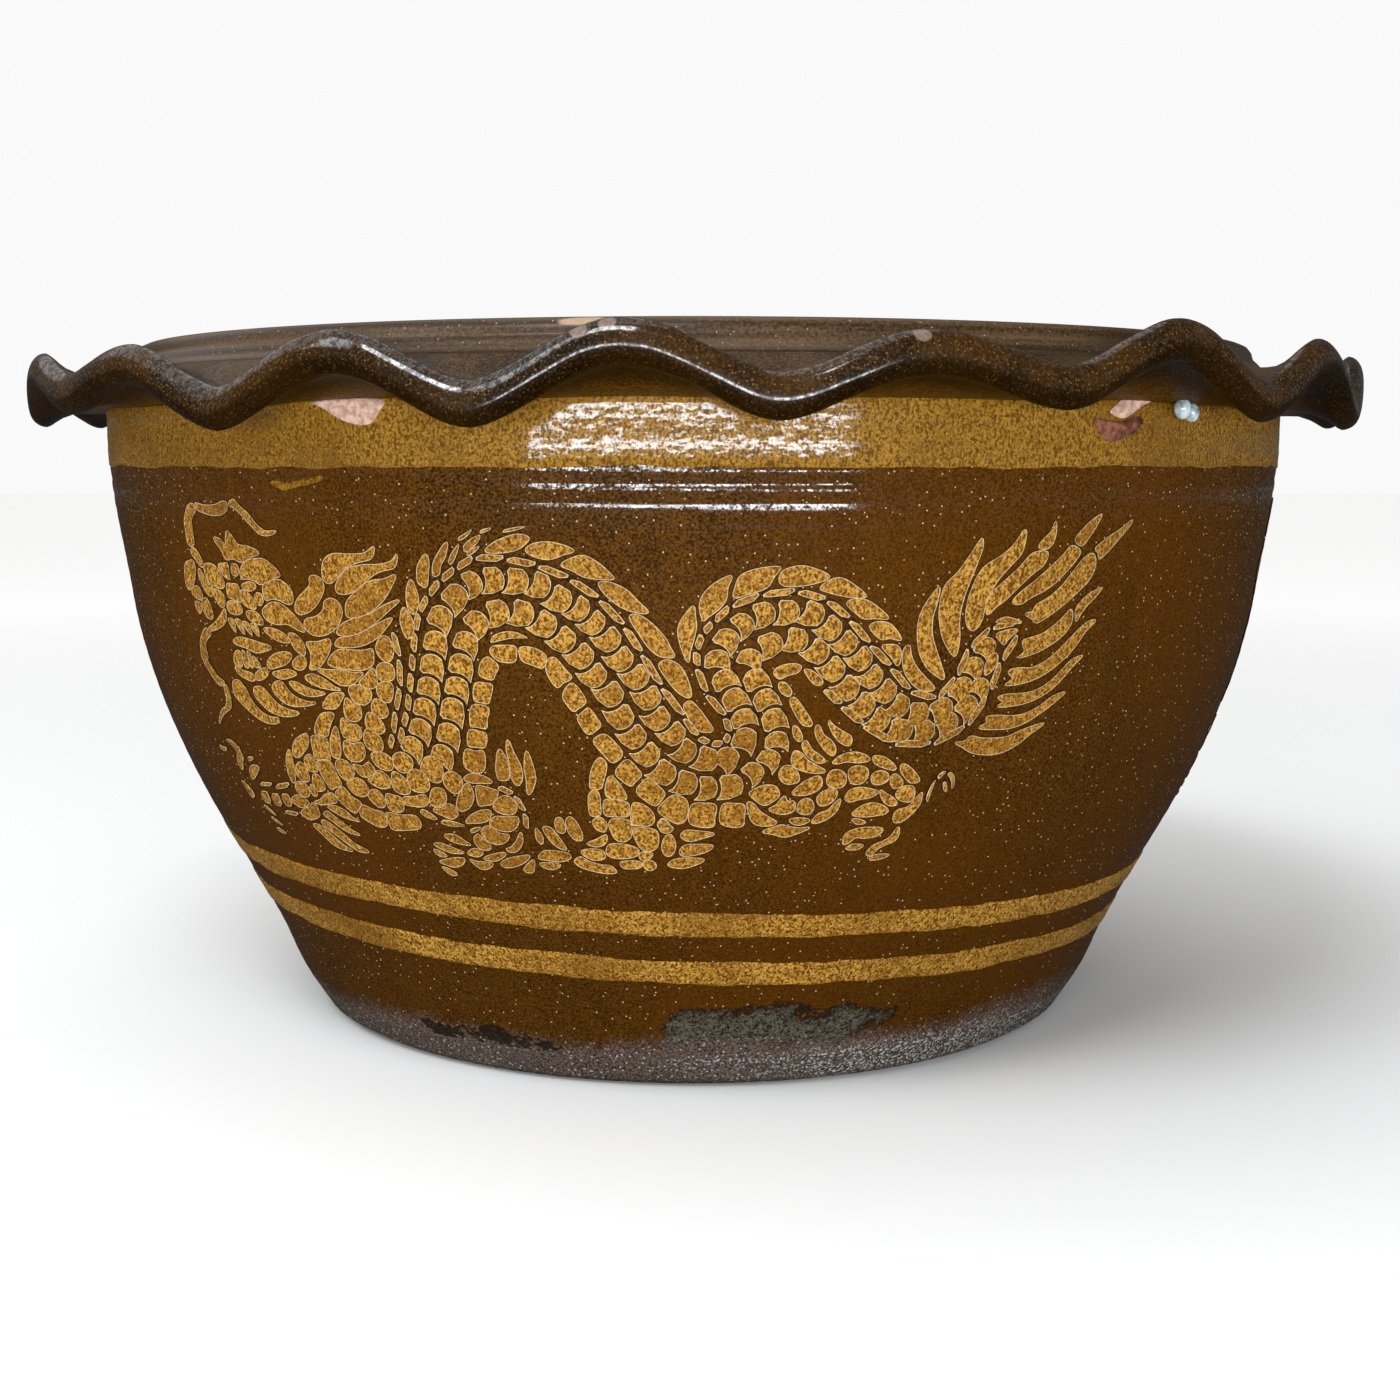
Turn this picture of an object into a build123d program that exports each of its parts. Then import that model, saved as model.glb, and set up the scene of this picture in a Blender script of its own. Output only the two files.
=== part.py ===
from build123d import *
import math
import os

# Wide stoneware water jar with a ruffled flange round its mouth, built from
# the clay parts the potter luted together. All lengths are in millimetres,
# the jar stands on the ground at height zero and its axis is the Z axis.

# Overall sizes
overall_height = 298.0
rim_tip_radius = 300.0
belly_radius = 265.2
foot_radius = 174.5
collar_height = 17.0

# Outer line of the wall from the foot up: a swollen foot, a straight flare,
# two arcs that lead into each other, and the upright seat of the flange. The
# arcs are drawn in a few flats each so that the pieces stay light.
foot_swell_radius = 186.8
foot_swell_height = 20.0
flare_start_radius = 196.2
flare_start_height = 42.0
flare_end_radius = 224.5
flare_end_height = 95.0
shoulder_inset = 8.7
shoulder_height = 187.0
seat_height = 246.0
outer_flats = 2
inner_flats = 1

# Floor, wall courses and the coil inside the corner
wall_thickness = 13.0
floor_thickness = 14.0
foot_edge_bevel = 3.0
course_joint_height = 187.0
course_joint_rise = 8.0
corner_coil_width = 24.0
corner_coil_slope_degrees = 39.0

# Collar above the flange, its lip softened by two bevels
collar_cove_rise = 5.0
collar_cove_inset = 8.7
collar_lip_inset = 13.2
collar_lip_width = 10.0
collar_lip_bevel = 3.0

# Flange whose edge is pinched into waves, one crest at the phase angle
wave_count = 18
wave_phase_degrees = -94.3
wave_height = 8.45
flange_seat_length = 11.0
flange_root_depth = 2.0
flange_edge_radius = 6.3
flange_edge_drop = 4.0
flange_edge_flats = 4
steps_in_wave = 8

# Slip laid on the wall
slip_thickness = 0.8
slip_band_width = 23.0
slip_band_gap = 1.0
stripe_tilt_degrees = 2.0
stripe_upper_bottom = 69.8
stripe_upper_top = 80.3
stripe_lower_bottom = 48.5
stripe_lower_top = 59.0

# Sizes that follow from the ones above
wall_top_height = overall_height - collar_height
shoulder_radius = belly_radius - shoulder_inset
collar_lip_radius = belly_radius - collar_lip_inset
flange_seat_bottom = wall_top_height - flange_seat_length
flange_edge_height = wall_top_height - flange_edge_drop
flange_edge_centre = rim_tip_radius - flange_edge_radius
wave_degrees = 360.0 / wave_count
slip_band_top = flange_seat_bottom - slip_band_gap


def turned(outline):
    """Full turn of a flat outline that is drawn as radius and height."""
    return revolve(Plane.XZ * outline, Axis.Z, 360.0)


def band_outline(bottom, top):
    """Everything between two heights."""
    width = 2 * rim_tip_radius
    return Pos(0.0, bottom) * Rectangle(width, top - bottom, align=(Align.MIN, Align.MIN))


def flats_along(arc, flats):
    """Ends of the flats that stand in for an arc, without its start."""
    return [arc @ ((flat + 1) / flats) for flat in range(flats)]


def wall_outline(inset, flats):
    """Everything inside the wall's outer line moved inwards by the inset."""
    swell = ThreePointArc(
        (foot_radius - inset, 0.0),
        (foot_swell_radius - inset, foot_swell_height),
        (flare_start_radius - inset, flare_start_height),
    )
    flare = Line(swell @ 1, (flare_end_radius - inset, flare_end_height))
    belly = TangentArc(flare @ 1, (shoulder_radius - inset, shoulder_height), tangent=flare % 1)
    corners = [swell @ 0, *flats_along(swell, flats), flare @ 1, *flats_along(belly, flats)]
    corners += [(belly_radius - inset, seat_height), (belly_radius - inset, wall_top_height)]
    return make_face(Polyline(*corners, (0.0, wall_top_height), (0.0, 0.0), close=True))


def wall_section():
    """Cut through both wall courses, standing on the floor disc."""
    wall = wall_outline(0.0, outer_flats) - wall_outline(wall_thickness, inner_flats)
    return wall & band_outline(floor_thickness, wall_top_height)


def joint_outline():
    """Everything below the bevelled joint between the two wall courses."""
    slope = course_joint_rise / wall_thickness
    axis_height = course_joint_height + slope * shoulder_radius
    rim_height = course_joint_height + slope * (shoulder_radius - rim_tip_radius)
    corners = [(0.0, 0.0), (rim_tip_radius, 0.0), (rim_tip_radius, rim_height), (0.0, axis_height)]
    return make_face(Polyline(*corners, close=True))


def floor_disc():
    """Beaten disc whose edge is the foot of the jar, bevelled below."""
    section = wall_outline(0.0, outer_flats) & band_outline(0.0, floor_thickness)
    foot_corner = section.vertices().sort_by(Axis.Y)[:2].sort_by(Axis.X)[-1]
    return turned(chamfer(foot_corner, foot_edge_bevel))


def lower_wall():
    """First thrown course, its top cut to a bevel."""
    return turned(wall_section() & joint_outline())


def upper_wall():
    """Second thrown course, set on the bevel of the first."""
    return turned(wall_section() - joint_outline())


def corner_coil():
    """Coil pressed into the angle between floor and wall, smoothed to a slope."""
    tip_radius = foot_swell_radius - wall_thickness - corner_coil_width
    reach = foot_swell_radius - tip_radius
    slope_rise = reach * math.tan(math.radians(corner_coil_slope_degrees))
    corners = [(tip_radius, floor_thickness), (foot_swell_radius, floor_thickness + slope_rise)]
    wedge = make_face(Polyline(*corners, (foot_swell_radius, floor_thickness), close=True))
    return turned(wedge & wall_outline(wall_thickness, inner_flats))


def neck_collar():
    """Low upright collar, swept out at its foot to cover the wall's top."""
    lip_inner = collar_lip_radius - collar_lip_width
    bevel_height = overall_height - collar_lip_bevel
    corners = [
        (belly_radius, wall_top_height),
        (belly_radius - collar_cove_inset, wall_top_height + collar_cove_rise),
        (collar_lip_radius, bevel_height),
        (collar_lip_radius - collar_lip_bevel, overall_height),
        (lip_inner + collar_lip_bevel, overall_height),
        (lip_inner, bevel_height),
        (belly_radius - wall_thickness, wall_top_height),
    ]
    return turned(make_face(Polyline(*corners, close=True)))


def flange_section(degrees):
    """Cut through the flange on the radial plane at one angle of a wave.

    The full-round edge is drawn in short flats, the wave lifts and drops it.
    """
    edge_height = flange_edge_height + wave_height * math.cos(math.radians(degrees * wave_count))
    root_radius = belly_radius - flange_root_depth
    outline = [(root_radius, wall_top_height), (root_radius, flange_seat_bottom)]
    for corner in range(flange_edge_flats + 1):
        turn = math.pi * (corner / flange_edge_flats - 1 / 2)
        reach = flange_edge_centre + flange_edge_radius * math.cos(turn)
        outline.append((reach, edge_height + flange_edge_radius * math.sin(turn)))
    outward = (math.cos(math.radians(degrees)), math.sin(math.radians(degrees)))
    radial_plane = Plane(origin=(0.0, 0.0, 0.0), x_dir=(*outward, 0.0), z_dir=(outward[1], -outward[0], 0.0))
    return radial_plane * make_face(Polyline(*outline, close=True))


def ruffled_rim():
    """Flange fused from equal waves, lofted trough to trough, bored for its seat."""
    step = wave_degrees / steps_in_wave
    sections = [flange_section(step * place - wave_degrees / 2) for place in range(steps_in_wave + 1)]
    wave = loft(sections, ruled=True)
    waves = [Rot(0.0, 0.0, wave_phase_degrees + wave_degrees * turn) * wave for turn in range(wave_count)]
    return waves[0].fuse(*waves[1:]) - Cylinder(belly_radius, 2 * overall_height)


def slip_skin(bottom, top):
    """Thin skin of slip all round the wall between two heights."""
    skin = wall_outline(-slip_thickness, outer_flats) - wall_outline(0.0, outer_flats)
    return turned(skin & band_outline(bottom, top))


def slip_band():
    """Slip brushed round the wall right under the flange."""
    return slip_skin(slip_band_top - slip_band_width, slip_band_top)


def stripe(bottom, top):
    """Stripe of slip on the flare, drawn a little askew as on the real jar."""
    plate = Rot(0.0, stripe_tilt_degrees, 0.0) * Cylinder(rim_tip_radius, top - bottom)
    return slip_skin(flare_start_height, flare_end_height) & (Pos(0.0, 0.0, (bottom + top) / 2) * plate)


def save(shape, name):
    """Write one piece under its own name."""
    export_step(shape, f"parts/{name}.step")


os.makedirs("parts", exist_ok=True)
save(floor_disc(), "floor_disc")
save(lower_wall(), "lower_wall")
save(corner_coil(), "corner_coil")
save(upper_wall(), "upper_wall")
save(neck_collar(), "neck_collar")
save(ruffled_rim(), "ruffled_rim")
save(slip_band(), "slip_band")
save(stripe(stripe_upper_bottom, stripe_upper_top), "stripe_upper")
save(stripe(stripe_lower_bottom, stripe_lower_top), "stripe_lower")
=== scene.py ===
import math

import bmesh
import bpy
from mathutils import Matrix, Vector, noise


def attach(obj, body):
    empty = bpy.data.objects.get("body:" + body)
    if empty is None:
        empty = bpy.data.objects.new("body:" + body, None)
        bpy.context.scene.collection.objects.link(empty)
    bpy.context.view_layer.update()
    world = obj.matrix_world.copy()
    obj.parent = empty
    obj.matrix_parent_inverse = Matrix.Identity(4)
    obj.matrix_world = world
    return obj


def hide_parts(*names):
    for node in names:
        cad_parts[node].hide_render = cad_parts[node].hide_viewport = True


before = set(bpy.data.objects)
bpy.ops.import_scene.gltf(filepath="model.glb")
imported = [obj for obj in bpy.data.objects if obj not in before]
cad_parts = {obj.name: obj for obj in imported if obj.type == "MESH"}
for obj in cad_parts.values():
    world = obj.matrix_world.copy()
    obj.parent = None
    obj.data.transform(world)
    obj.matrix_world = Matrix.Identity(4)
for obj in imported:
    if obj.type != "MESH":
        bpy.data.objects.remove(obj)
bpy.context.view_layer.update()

# Camera. It stands 930 mm from the jar's axis at the height of the jar's
# shoulder and looks slightly down at the wall.
millimetre = 0.001
photo_width_pixels = 1400
focal_length_pixels = 1947
sensor_width = 36.0
camera_distance = 930 * millimetre
camera_height = 247.6 * millimetre
camera_aside = 3 * millimetre
camera_pitch_degrees = 6.94
nearest_seen = 0.01

camera = bpy.data.objects.new("camera", bpy.data.cameras.new("camera"))
camera.data.sensor_width = sensor_width
camera.data.lens = sensor_width * focal_length_pixels / photo_width_pixels
camera.data.clip_start = nearest_seen
camera.location = (camera_aside, -camera_distance, camera_height)
camera.rotation_euler = (math.radians(90 - camera_pitch_degrees), 0, 0)
bpy.context.collection.objects.link(camera)
bpy.context.scene.camera = camera
bpy.context.scene.view_settings.view_transform = "Standard"


# Floor and light. A plain pale floor, left out of all reflections, runs out
# to a pale studio, with a low window behind the camera, soft lamps above and
# at the left, and daylight.
floor_half_width = 15.0
paper_white = (0.90, 0.90, 0.89, 1)
no_glow = (0, 0, 0, 1)
far_glow = (0.32, 0.32, 0.32, 1)
glow_per_metre = 0.45
glow_held_back = 0.18
studio_white = (1.0, 1.0, 1.0, 1)
studio_light = 0.42
studio_seen_more = 0.53
studio_mirrored_less = 0.30
lamp_colour = (0.92, 0.96, 1.0)
jar_middle = (0.0, 0.0, 0.15)
daylight_strength = 0.9
daylight_spread_degrees = 80
daylight_tilt_degrees = (-20, -25, 0)


class Signal:
    """One socket of a material's tree, on which sums are written in Python."""

    def __init__(self, tree, socket=None):
        self.tree = tree
        self.socket = socket

    def node(self, kind, settings, links, output=0):
        """Add a node with its settings and sockets, and give one of its outputs."""
        made = self.tree.nodes.new(kind)
        for name, value in settings.items():
            setattr(made, name, value)
        for name, value in links.items():
            if isinstance(value, Signal):
                self.tree.links.new(value.socket, made.inputs[name])
            else:
                made.inputs[name].default_value = value
        return Signal(self.tree, made.outputs[output] if len(made.outputs) else None)

    def sum(self, operation, first, second):
        return self.node("ShaderNodeMath", {"operation": operation}, {0: first, 1: second})

    def __add__(self, other):
        return self.sum("ADD", self, other)

    def __radd__(self, other):
        return self.sum("ADD", other, self)

    def __sub__(self, other):
        return self.sum("SUBTRACT", self, other)

    def __rsub__(self, other):
        return self.sum("SUBTRACT", other, self)

    def __mul__(self, other):
        return self.sum("MULTIPLY", self, other)

    def __rmul__(self, other):
        return self.sum("MULTIPLY", other, self)


def new_material(name):
    """An empty material and the place on the object that its patterns read."""
    material = bpy.data.materials.new(name)
    material.use_nodes = True
    material.node_tree.nodes.clear()
    place = Signal(material.node_tree).node("ShaderNodeTexCoord", {}, {}, "Object")
    return material, place


def finish_surface(place, **sockets):
    """Principled surface with its sockets given by name, underscores for spaces."""
    links = {name.replace("_", " "): value for name, value in sockets.items()}
    surface = place.node("ShaderNodeBsdfPrincipled", {}, links)
    place.node("ShaderNodeOutputMaterial", {}, {"Surface": surface})


def distance_from(place, point):
    """Distance of the place from a point on the object, in metres."""
    return place.node("ShaderNodeVectorMath", {"operation": "DISTANCE"}, {0: place, 1: point}, "Value")


def tint(factor, low, high):
    """Colour between two, by a factor from 0 to 1. A Mix node has its colours on 6, 7 and 2."""
    return factor.node("ShaderNodeMix", {"data_type": "RGBA"}, {0: factor, 6: low, 7: high}, 2)


def floor_material():
    """Pale paper that glows a little far out, so that it runs into the studio."""
    material, place = new_material("pale_floor")
    grain = place.node("ShaderNodeTexNoise", {}, {"Vector": place, "Scale": 30.0, "Detail": 3.0})
    far = distance_from(place, (0.0, 0.0, 0.0)) * glow_per_metre - glow_held_back
    finish_surface(
        place, Base_Color=paper_white, Roughness=0.7 + grain * 0.1, Specular_IOR_Level=0.0,
        Emission_Color=tint(far, no_glow, far_glow), Emission_Strength=1.0,
    )
    return material


def soft_lamp(name, power, width, height, place, aim):
    """Area lamp that looks from its place to the point it is aimed at."""
    lamp = bpy.data.lights.new(name, "AREA")
    lamp.shape = "RECTANGLE"
    lamp.size = width
    lamp.size_y = height
    lamp.energy = power
    lamp.color = lamp_colour
    stand = bpy.data.objects.new(name, lamp)
    stand.location = place
    stand.rotation_euler = (Vector(aim) - Vector(place)).to_track_quat("-Z", "Y").to_euler()
    bpy.context.collection.objects.link(stand)


floor_mesh = bmesh.new()
bmesh.ops.create_grid(floor_mesh, x_segments=1, y_segments=1, size=floor_half_width)
floor = bpy.data.objects.new("floor", bpy.data.meshes.new("floor"))
floor_mesh.to_mesh(floor.data)
floor_mesh.free()
floor.data.materials.append(floor_material())
floor.visible_glossy = False
bpy.context.collection.objects.link(floor)

world = bpy.data.worlds.new("studio")
world.use_nodes = True
studio = Signal(world.node_tree)
seen = studio.node("ShaderNodeLightPath", {}, {}, "Is Camera Ray")
mirrored = studio.node("ShaderNodeLightPath", {}, {}, "Is Glossy Ray")
strength = studio_light + seen * studio_seen_more - mirrored * studio_mirrored_less
background = world.node_tree.nodes["Background"]
world.node_tree.links.new(strength.socket, background.inputs["Strength"])
background.inputs["Color"].default_value = studio_white
bpy.context.scene.world = world

soft_lamp("window", power=38, width=1.9, height=0.31, place=(0.0, -1.9, 0.21), aim=(0.0, -0.26, 0.25))
soft_lamp("lamp_above", power=26, width=0.9, height=0.6, place=(-0.5, -1.25, 1.95), aim=jar_middle)
soft_lamp("lamp_left", power=10, width=0.8, height=1.2, place=(-1.7, -1.0, 1.8), aim=jar_middle)

sun = bpy.data.objects.new("daylight", bpy.data.lights.new("daylight", "SUN"))
sun.data.energy = daylight_strength
sun.data.angle = math.radians(daylight_spread_degrees)
sun.rotation_euler = [math.radians(degrees) for degrees in daylight_tilt_degrees]
bpy.context.collection.objects.link(sun)


# Wall. Two thrown courses of coarse stoneware, luted together and turned as
# one. The outside keeps the throwing rings, and brown ash glaze covers it
# inside and out down to a bare strip above the foot.
wall_stations = (
    (0.0, 174.5), (20.0, 187.0), (42.0, 196.6), (70.0, 211.2), (95.0, 224.9), (120.0, 236.6), (147.0, 246.9),
    (175.0, 254.6), (205.0, 259.4), (228.0, 263.1), (246.0, 264.9), (262.0, 265.2), (298.0, 265.2),
)
wall_thickness = 13.0
wall_bottom = 14.0
wall_top = 281.0
wall_columns = 360
wall_rows = 150
throwing_ring_depth = 0.12
throwing_ring_spacing = 7.0
ring_sway = 1.7
ring_sway_height = 31
ring_drift = 2.2
shoulder_ring_swell = 1.5
ridged_height = 238.0
ridged_reach = 10.0
ridge_depth = 0.05
ridge_spacing = 3.1
wall_wobble = 0.7
skin_unevenness = 0.07
unevenness_height = 240
pi = math.pi

glaze_dark = (0.018, 0.0056, 0.0002, 1)
glaze_pale = (0.080, 0.031, 0.0020, 1)
glaze_warm = (0.070, 0.0215, 0.0004, 1)
glaze_run = (0.026, 0.0085, 0.0005, 1)
glaze_low = (0.036, 0.0110, 0.0002, 1)
iron_speck = (0.010, 0.0032, 0.0003, 1)
grit_and_glint_speck = (0.50, 0.38, 0.24, 1)
scorch_black = (0.006, 0.005, 0.003, 1)
ash_dark = (0.008, 0.007, 0.004, 1)
ash_pale = (0.086, 0.078, 0.056, 1)
raw_dark = (0.022, 0.014, 0.010, 1)
raw_pale = (0.105, 0.076, 0.062, 1)
clay_grit = (0.36, 0.34, 0.30, 1)
salt_white = (0.36, 0.35, 0.33, 1)
char_middle = (0.036, -0.187, 0.132)
scorch_middle = (-0.0836, -0.1639, 0.0900)
salt_middle = (0.095, -0.152, 0.004)


def wall_radius(height):
    """Radius in millimetres of the smooth line through the wall's stations."""
    last = len(wall_stations) - 1
    here = max(i for i in range(last) if wall_stations[i][0] <= max(height, 0.0))
    (z0, r0), (z1, r1) = wall_stations[here], wall_stations[here + 1]
    (za, ra), (zb, rb) = wall_stations[max(here - 1, 0)], wall_stations[min(here + 2, last)]
    span = z1 - z0
    share = (height - z0) / span
    start = (r1 - ra) / (z1 - za) * span
    end = (rb - r0) / (zb - z0) * span
    bend = (2 * share**3 - 3 * share**2 + 1) * r0 + (3 * share**2 - 2 * share**3) * r1
    return bend + (share**3 - 2 * share**2 + share) * start + (share**3 - share**2) * end


def wall_relief(turn, height):
    """Throwing rings, wobble and uneven skin of a hand-turned wall, in millimetres."""
    spot = Vector((math.cos(turn), math.sin(turn), height / unevenness_height))
    drift = ring_drift * noise.noise(spot * 1.3)
    sway = ring_sway * math.sin(height / ring_sway_height)
    rings = math.sin(2 * pi * height / throwing_ring_spacing + sway + drift)
    depth = throwing_ring_depth * (0.55 + 0.45 * noise.noise(spot * 2.1))
    shoulder = math.exp(-(((height - ridged_height) / ridged_reach) ** 2))
    ridges = math.sin(2 * pi * height / ridge_spacing + 3 * drift) * ridge_depth * shoulder
    skin = skin_unevenness * noise.noise(spot * 24)
    wobble = wall_wobble * noise.noise(spot * 0.9 + Vector((5, 0, 0)))
    return depth * (1 + shoulder_ring_swell * shoulder) * rings + ridges + skin + wobble


def wall_place(azimuth, height, lift):
    """Point over the outside of the wall in millimetres, its azimuth counted from the camera side."""
    reach = wall_radius(height) + wall_relief(azimuth - pi / 2, height) + lift
    return Vector((reach * math.sin(azimuth), -reach * math.cos(azimuth), height))


def line_mesh(corners, cuts):
    """A mesh that holds one line in the XZ plane through the corners, in millimetres."""
    mesh = bmesh.new()
    dots = [mesh.verts.new((reach, 0.0, height)) for reach, height in corners]
    edges = [mesh.edges.new(pair) for pair in zip(dots, dots[1:])]
    bmesh.ops.subdivide_edges(mesh, edges=edges, cuts=cuts)
    return mesh


def turned(mesh, steps):
    """Spin a line mesh in millimetres round the jar's axis and close its poles."""
    bmesh.ops.spin(
        mesh, geom=mesh.verts[:] + mesh.edges[:], cent=(0, 0, 0), axis=(0, 0, 1), angle=2 * pi, steps=steps,
        use_merge=True,
    )
    bmesh.ops.remove_doubles(mesh, verts=mesh.verts, dist=0.01)
    bmesh.ops.recalc_face_normals(mesh, faces=mesh.faces)


def roughen(mesh, amount):
    """Push each vertex of a turned millimetre mesh out by the wall's relief."""
    for vertex in mesh.verts:
        reach = math.hypot(vertex.co.x, vertex.co.y)
        if reach > 1:
            push = 1 + amount * wall_relief(math.atan2(vertex.co.y, vertex.co.x), vertex.co.z) / reach
            vertex.co.x *= push
            vertex.co.y *= push


def add_piece(name, mesh, material, slot, *nodes):
    """Turn a millimetre mesh into a smooth piece that rides on the jar."""
    bmesh.ops.transform(mesh, matrix=Matrix.Scale(millimetre, 4), verts=mesh.verts)
    piece = bpy.data.objects.new(name, bpy.data.meshes.new(name))
    mesh.to_mesh(piece.data)
    mesh.free()
    piece.data.shade_smooth()
    piece.data.materials.append(material)
    bpy.context.collection.objects.link(piece)
    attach(piece, "root")
    if nodes:
        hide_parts(*nodes)
    return piece


def fade(value, start, end):
    """Smooth step from 0 at the start to 1 at the end."""
    links = {"Value": value, "From Min": start, "From Max": end}
    return value.node("ShaderNodeMapRange", {"interpolation_type": "SMOOTHSTEP"}, links)


def stretched(place, stretch):
    """The place with each of its axes multiplied by a number."""
    return place.node("ShaderNodeMapping", {}, {"Vector": place, "Scale": stretch})


def cloud(place, scale, detail=3.0, stretch=(1.0, 1.0, 1.0)):
    """Noise from 0 to 1, drawn out along an axis by a small stretch."""
    spot = stretched(place, stretch)
    return place.node("ShaderNodeTexNoise", {}, {"Vector": spot, "Scale": scale, "Detail": detail})


def specks(place, scale, size):
    """Round specks, 1 inside and 0 outside, one to each cell of the scale."""
    cells = place.node("ShaderNodeTexVoronoi", {}, {"Vector": place, "Scale": scale})
    return 1.0 - fade(cells, size * 0.6, size)


def height_of(place):
    """Height above the ground in metres."""
    return place.node("ShaderNodeSeparateXYZ", {}, {0: place}, "Z")


def distance_from_axis(place):
    """Distance of the place from the jar's axis, in metres."""
    return distance_from(stretched(place, (1.0, 1.0, 0.0)), (0, 0, 0))


def salty_side(place):
    """1 where the fire left the most salt at the foot, fading to 0 away from it."""
    return 1.0 - fade(distance_from(place, salt_middle), 0.03, 0.10)


def bumpy(relief, strength, depth):
    """Surface that is uneven by a relief, its depth in metres."""
    return relief.node("ShaderNodeBump", {}, {"Height": relief, "Strength": strength, "Distance": depth})


def brown_glaze():
    """Dark brown ash glaze that breaks to specks over the coarse clay; the pale specks are partly painted
    glints.
    """
    material, place = new_material("brown_glaze")
    height = height_of(place)
    outside = fade(distance_from_axis(place), 0.179, 0.183)
    grain = cloud(place, 1100.0, 2.0)
    fine = cloud(place, 420.0)
    patches = cloud(place, 9.0, 4.0)
    runs = cloud(place, 60.0, 3.0, (1.0, 1.0, 0.14))
    bands = cloud(place, 230.0, 3.0, (0.012, 0.012, 1.0))
    mottle = fade(grain * 0.80 + fine * 0.05 + runs * 0.15, 0.36, 0.64)
    glaze = tint(mottle, glaze_dark, glaze_pale)
    glaze = tint(fade(patches, 0.40, 0.66) * 0.45, glaze, glaze_warm)
    glaze = tint(fade(runs, 0.52, 0.74) * 0.35, glaze, glaze_run)
    glaze = tint((1.0 - fade(height, 0.08, 0.215)) * 0.35, glaze, glaze_low)
    glaze = tint(specks(place, 700.0, 0.22) * 0.45, glaze, iron_speck)
    # pale specks: partly grit in the glaze, partly painted glints of light
    glaze = tint(specks(place, 330.0, 0.13) * 0.7, glaze, grit_and_glint_speck)

    # a charred patch low on the camera side with grey ash inside it
    low = stretched(place, (1.0, 1.0, 5.0))
    ragged = cloud(place, 75.0, 9.0, (0.6, 0.6, 1.0)) * 0.12 + fine * 0.05
    from_char = distance_from(low, char_middle) + ragged
    char = (1.0 - fade(from_char, 0.132, 0.138)) * outside
    glaze = tint(char * fade(fine, 0.34, 0.52) * 0.9, glaze, scorch_black)
    ash = tint(fade(grain * 0.6 + fine * 0.4, 0.38, 0.62), ash_dark, ash_pale)
    glaze = tint((1.0 - fade(from_char, 0.112, 0.131)) * outside * 0.85, glaze, ash)

    # raw clay below the ragged end of the glaze, a scorched spot and salt on it
    raw = tint(mottle, raw_dark, raw_pale)
    raw = tint(specks(place, 420.0, 0.24) * 0.7, raw, clay_grit)
    foot_line = 0.003 + patches * 0.022 + runs * 0.006 + fine * 0.010
    bare = (1.0 - fade(height - foot_line, -0.007, 0.005)) * outside
    glaze = tint(bare * 0.9, glaze, raw)
    from_scorch = distance_from(low, scorch_middle) + ragged
    glaze = tint((1.0 - fade(from_scorch, 0.103, 0.110)) * outside * 0.85, glaze, scorch_black)
    salted = salty_side(place)
    salt = fade(cloud(place, 850.0, 5.0) + salted * 0.03, 0.555, 0.61)
    salt = salt * fade(patches + salted * 0.25, 0.50, 0.66)
    crust = (1.0 - fade(height - salted * 0.004, 0.006, 0.018)) * outside * salt
    glaze = tint(crust * 0.8, glaze, salt_white)

    # wet gloss round the shoulder, broken by grain and brush lines
    relief = grain * 0.10 + bands * 0.55 + fine * 0.25 - specks(place, 150.0, 0.11) * 0.9
    streaks = cloud(place, 650.0, 3.0, (0.4, 0.4, 1.0))
    broken = fade(streaks * 0.5 + grain * 0.5 + bands * 0.35, 0.63, 0.82)
    wet = fade(height, 0.222, 0.236) * (1.0 - fade(height, 0.2815, 0.2820)) * (0.02 + broken) * 0.95
    finish_surface(
        place, Base_Color=glaze, Roughness=0.34 + grain * 0.16 + bare * 0.4, Specular_IOR_Level=0.03,
        Normal=bumpy(relief, 0.6, 0.0006), Coat_Weight=wet, Coat_Roughness=0.10, Coat_IOR=1.7,
    )
    return material


brown = brown_glaze()
wall = line_mesh([(wall_radius(wall_bottom), wall_bottom), (wall_radius(wall_top), wall_top)], wall_rows - 1)
ridged = [edge for edge in wall.edges if abs(edge.verts[0].co.z - ridged_height) < 1.4 * ridged_reach]
bmesh.ops.subdivide_edges(wall, edges=ridged, cuts=1)
for dot in wall.verts:
    dot.co.x = wall_radius(dot.co.z)
turned(wall, wall_columns)
roughen(wall, 1.0)
inside = line_mesh([(0, wall_bottom), (0, wall_top)], wall_rows // 2)
for dot in inside.verts:
    dot.co.x = wall_radius(dot.co.z) - wall_thickness
turned(inside, wall_columns // 2)
bmesh.ops.reverse_faces(inside, faces=inside.faces)
inside_data = bpy.data.meshes.new("inside")
inside.to_mesh(inside_data)
inside.free()
wall.from_mesh(inside_data)
bpy.data.meshes.remove(inside_data)
add_piece("wall", wall, brown, "brown_glaze", "lower_wall", "upper_wall")


# Floor. A beaten disc of the same clay; its edge is the foot of the jar,
# softened below. It is left bare outside and glazed inside.
foot_radius = 174.5
foot_edge_bevel = 3.0
foot_side_height = 8.0
floor_columns = 180
bare_dark = (0.020, 0.013, 0.009, 1)
bare_pale = (0.095, 0.068, 0.052, 1)
bare_grey = (0.046, 0.038, 0.032, 1)


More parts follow.
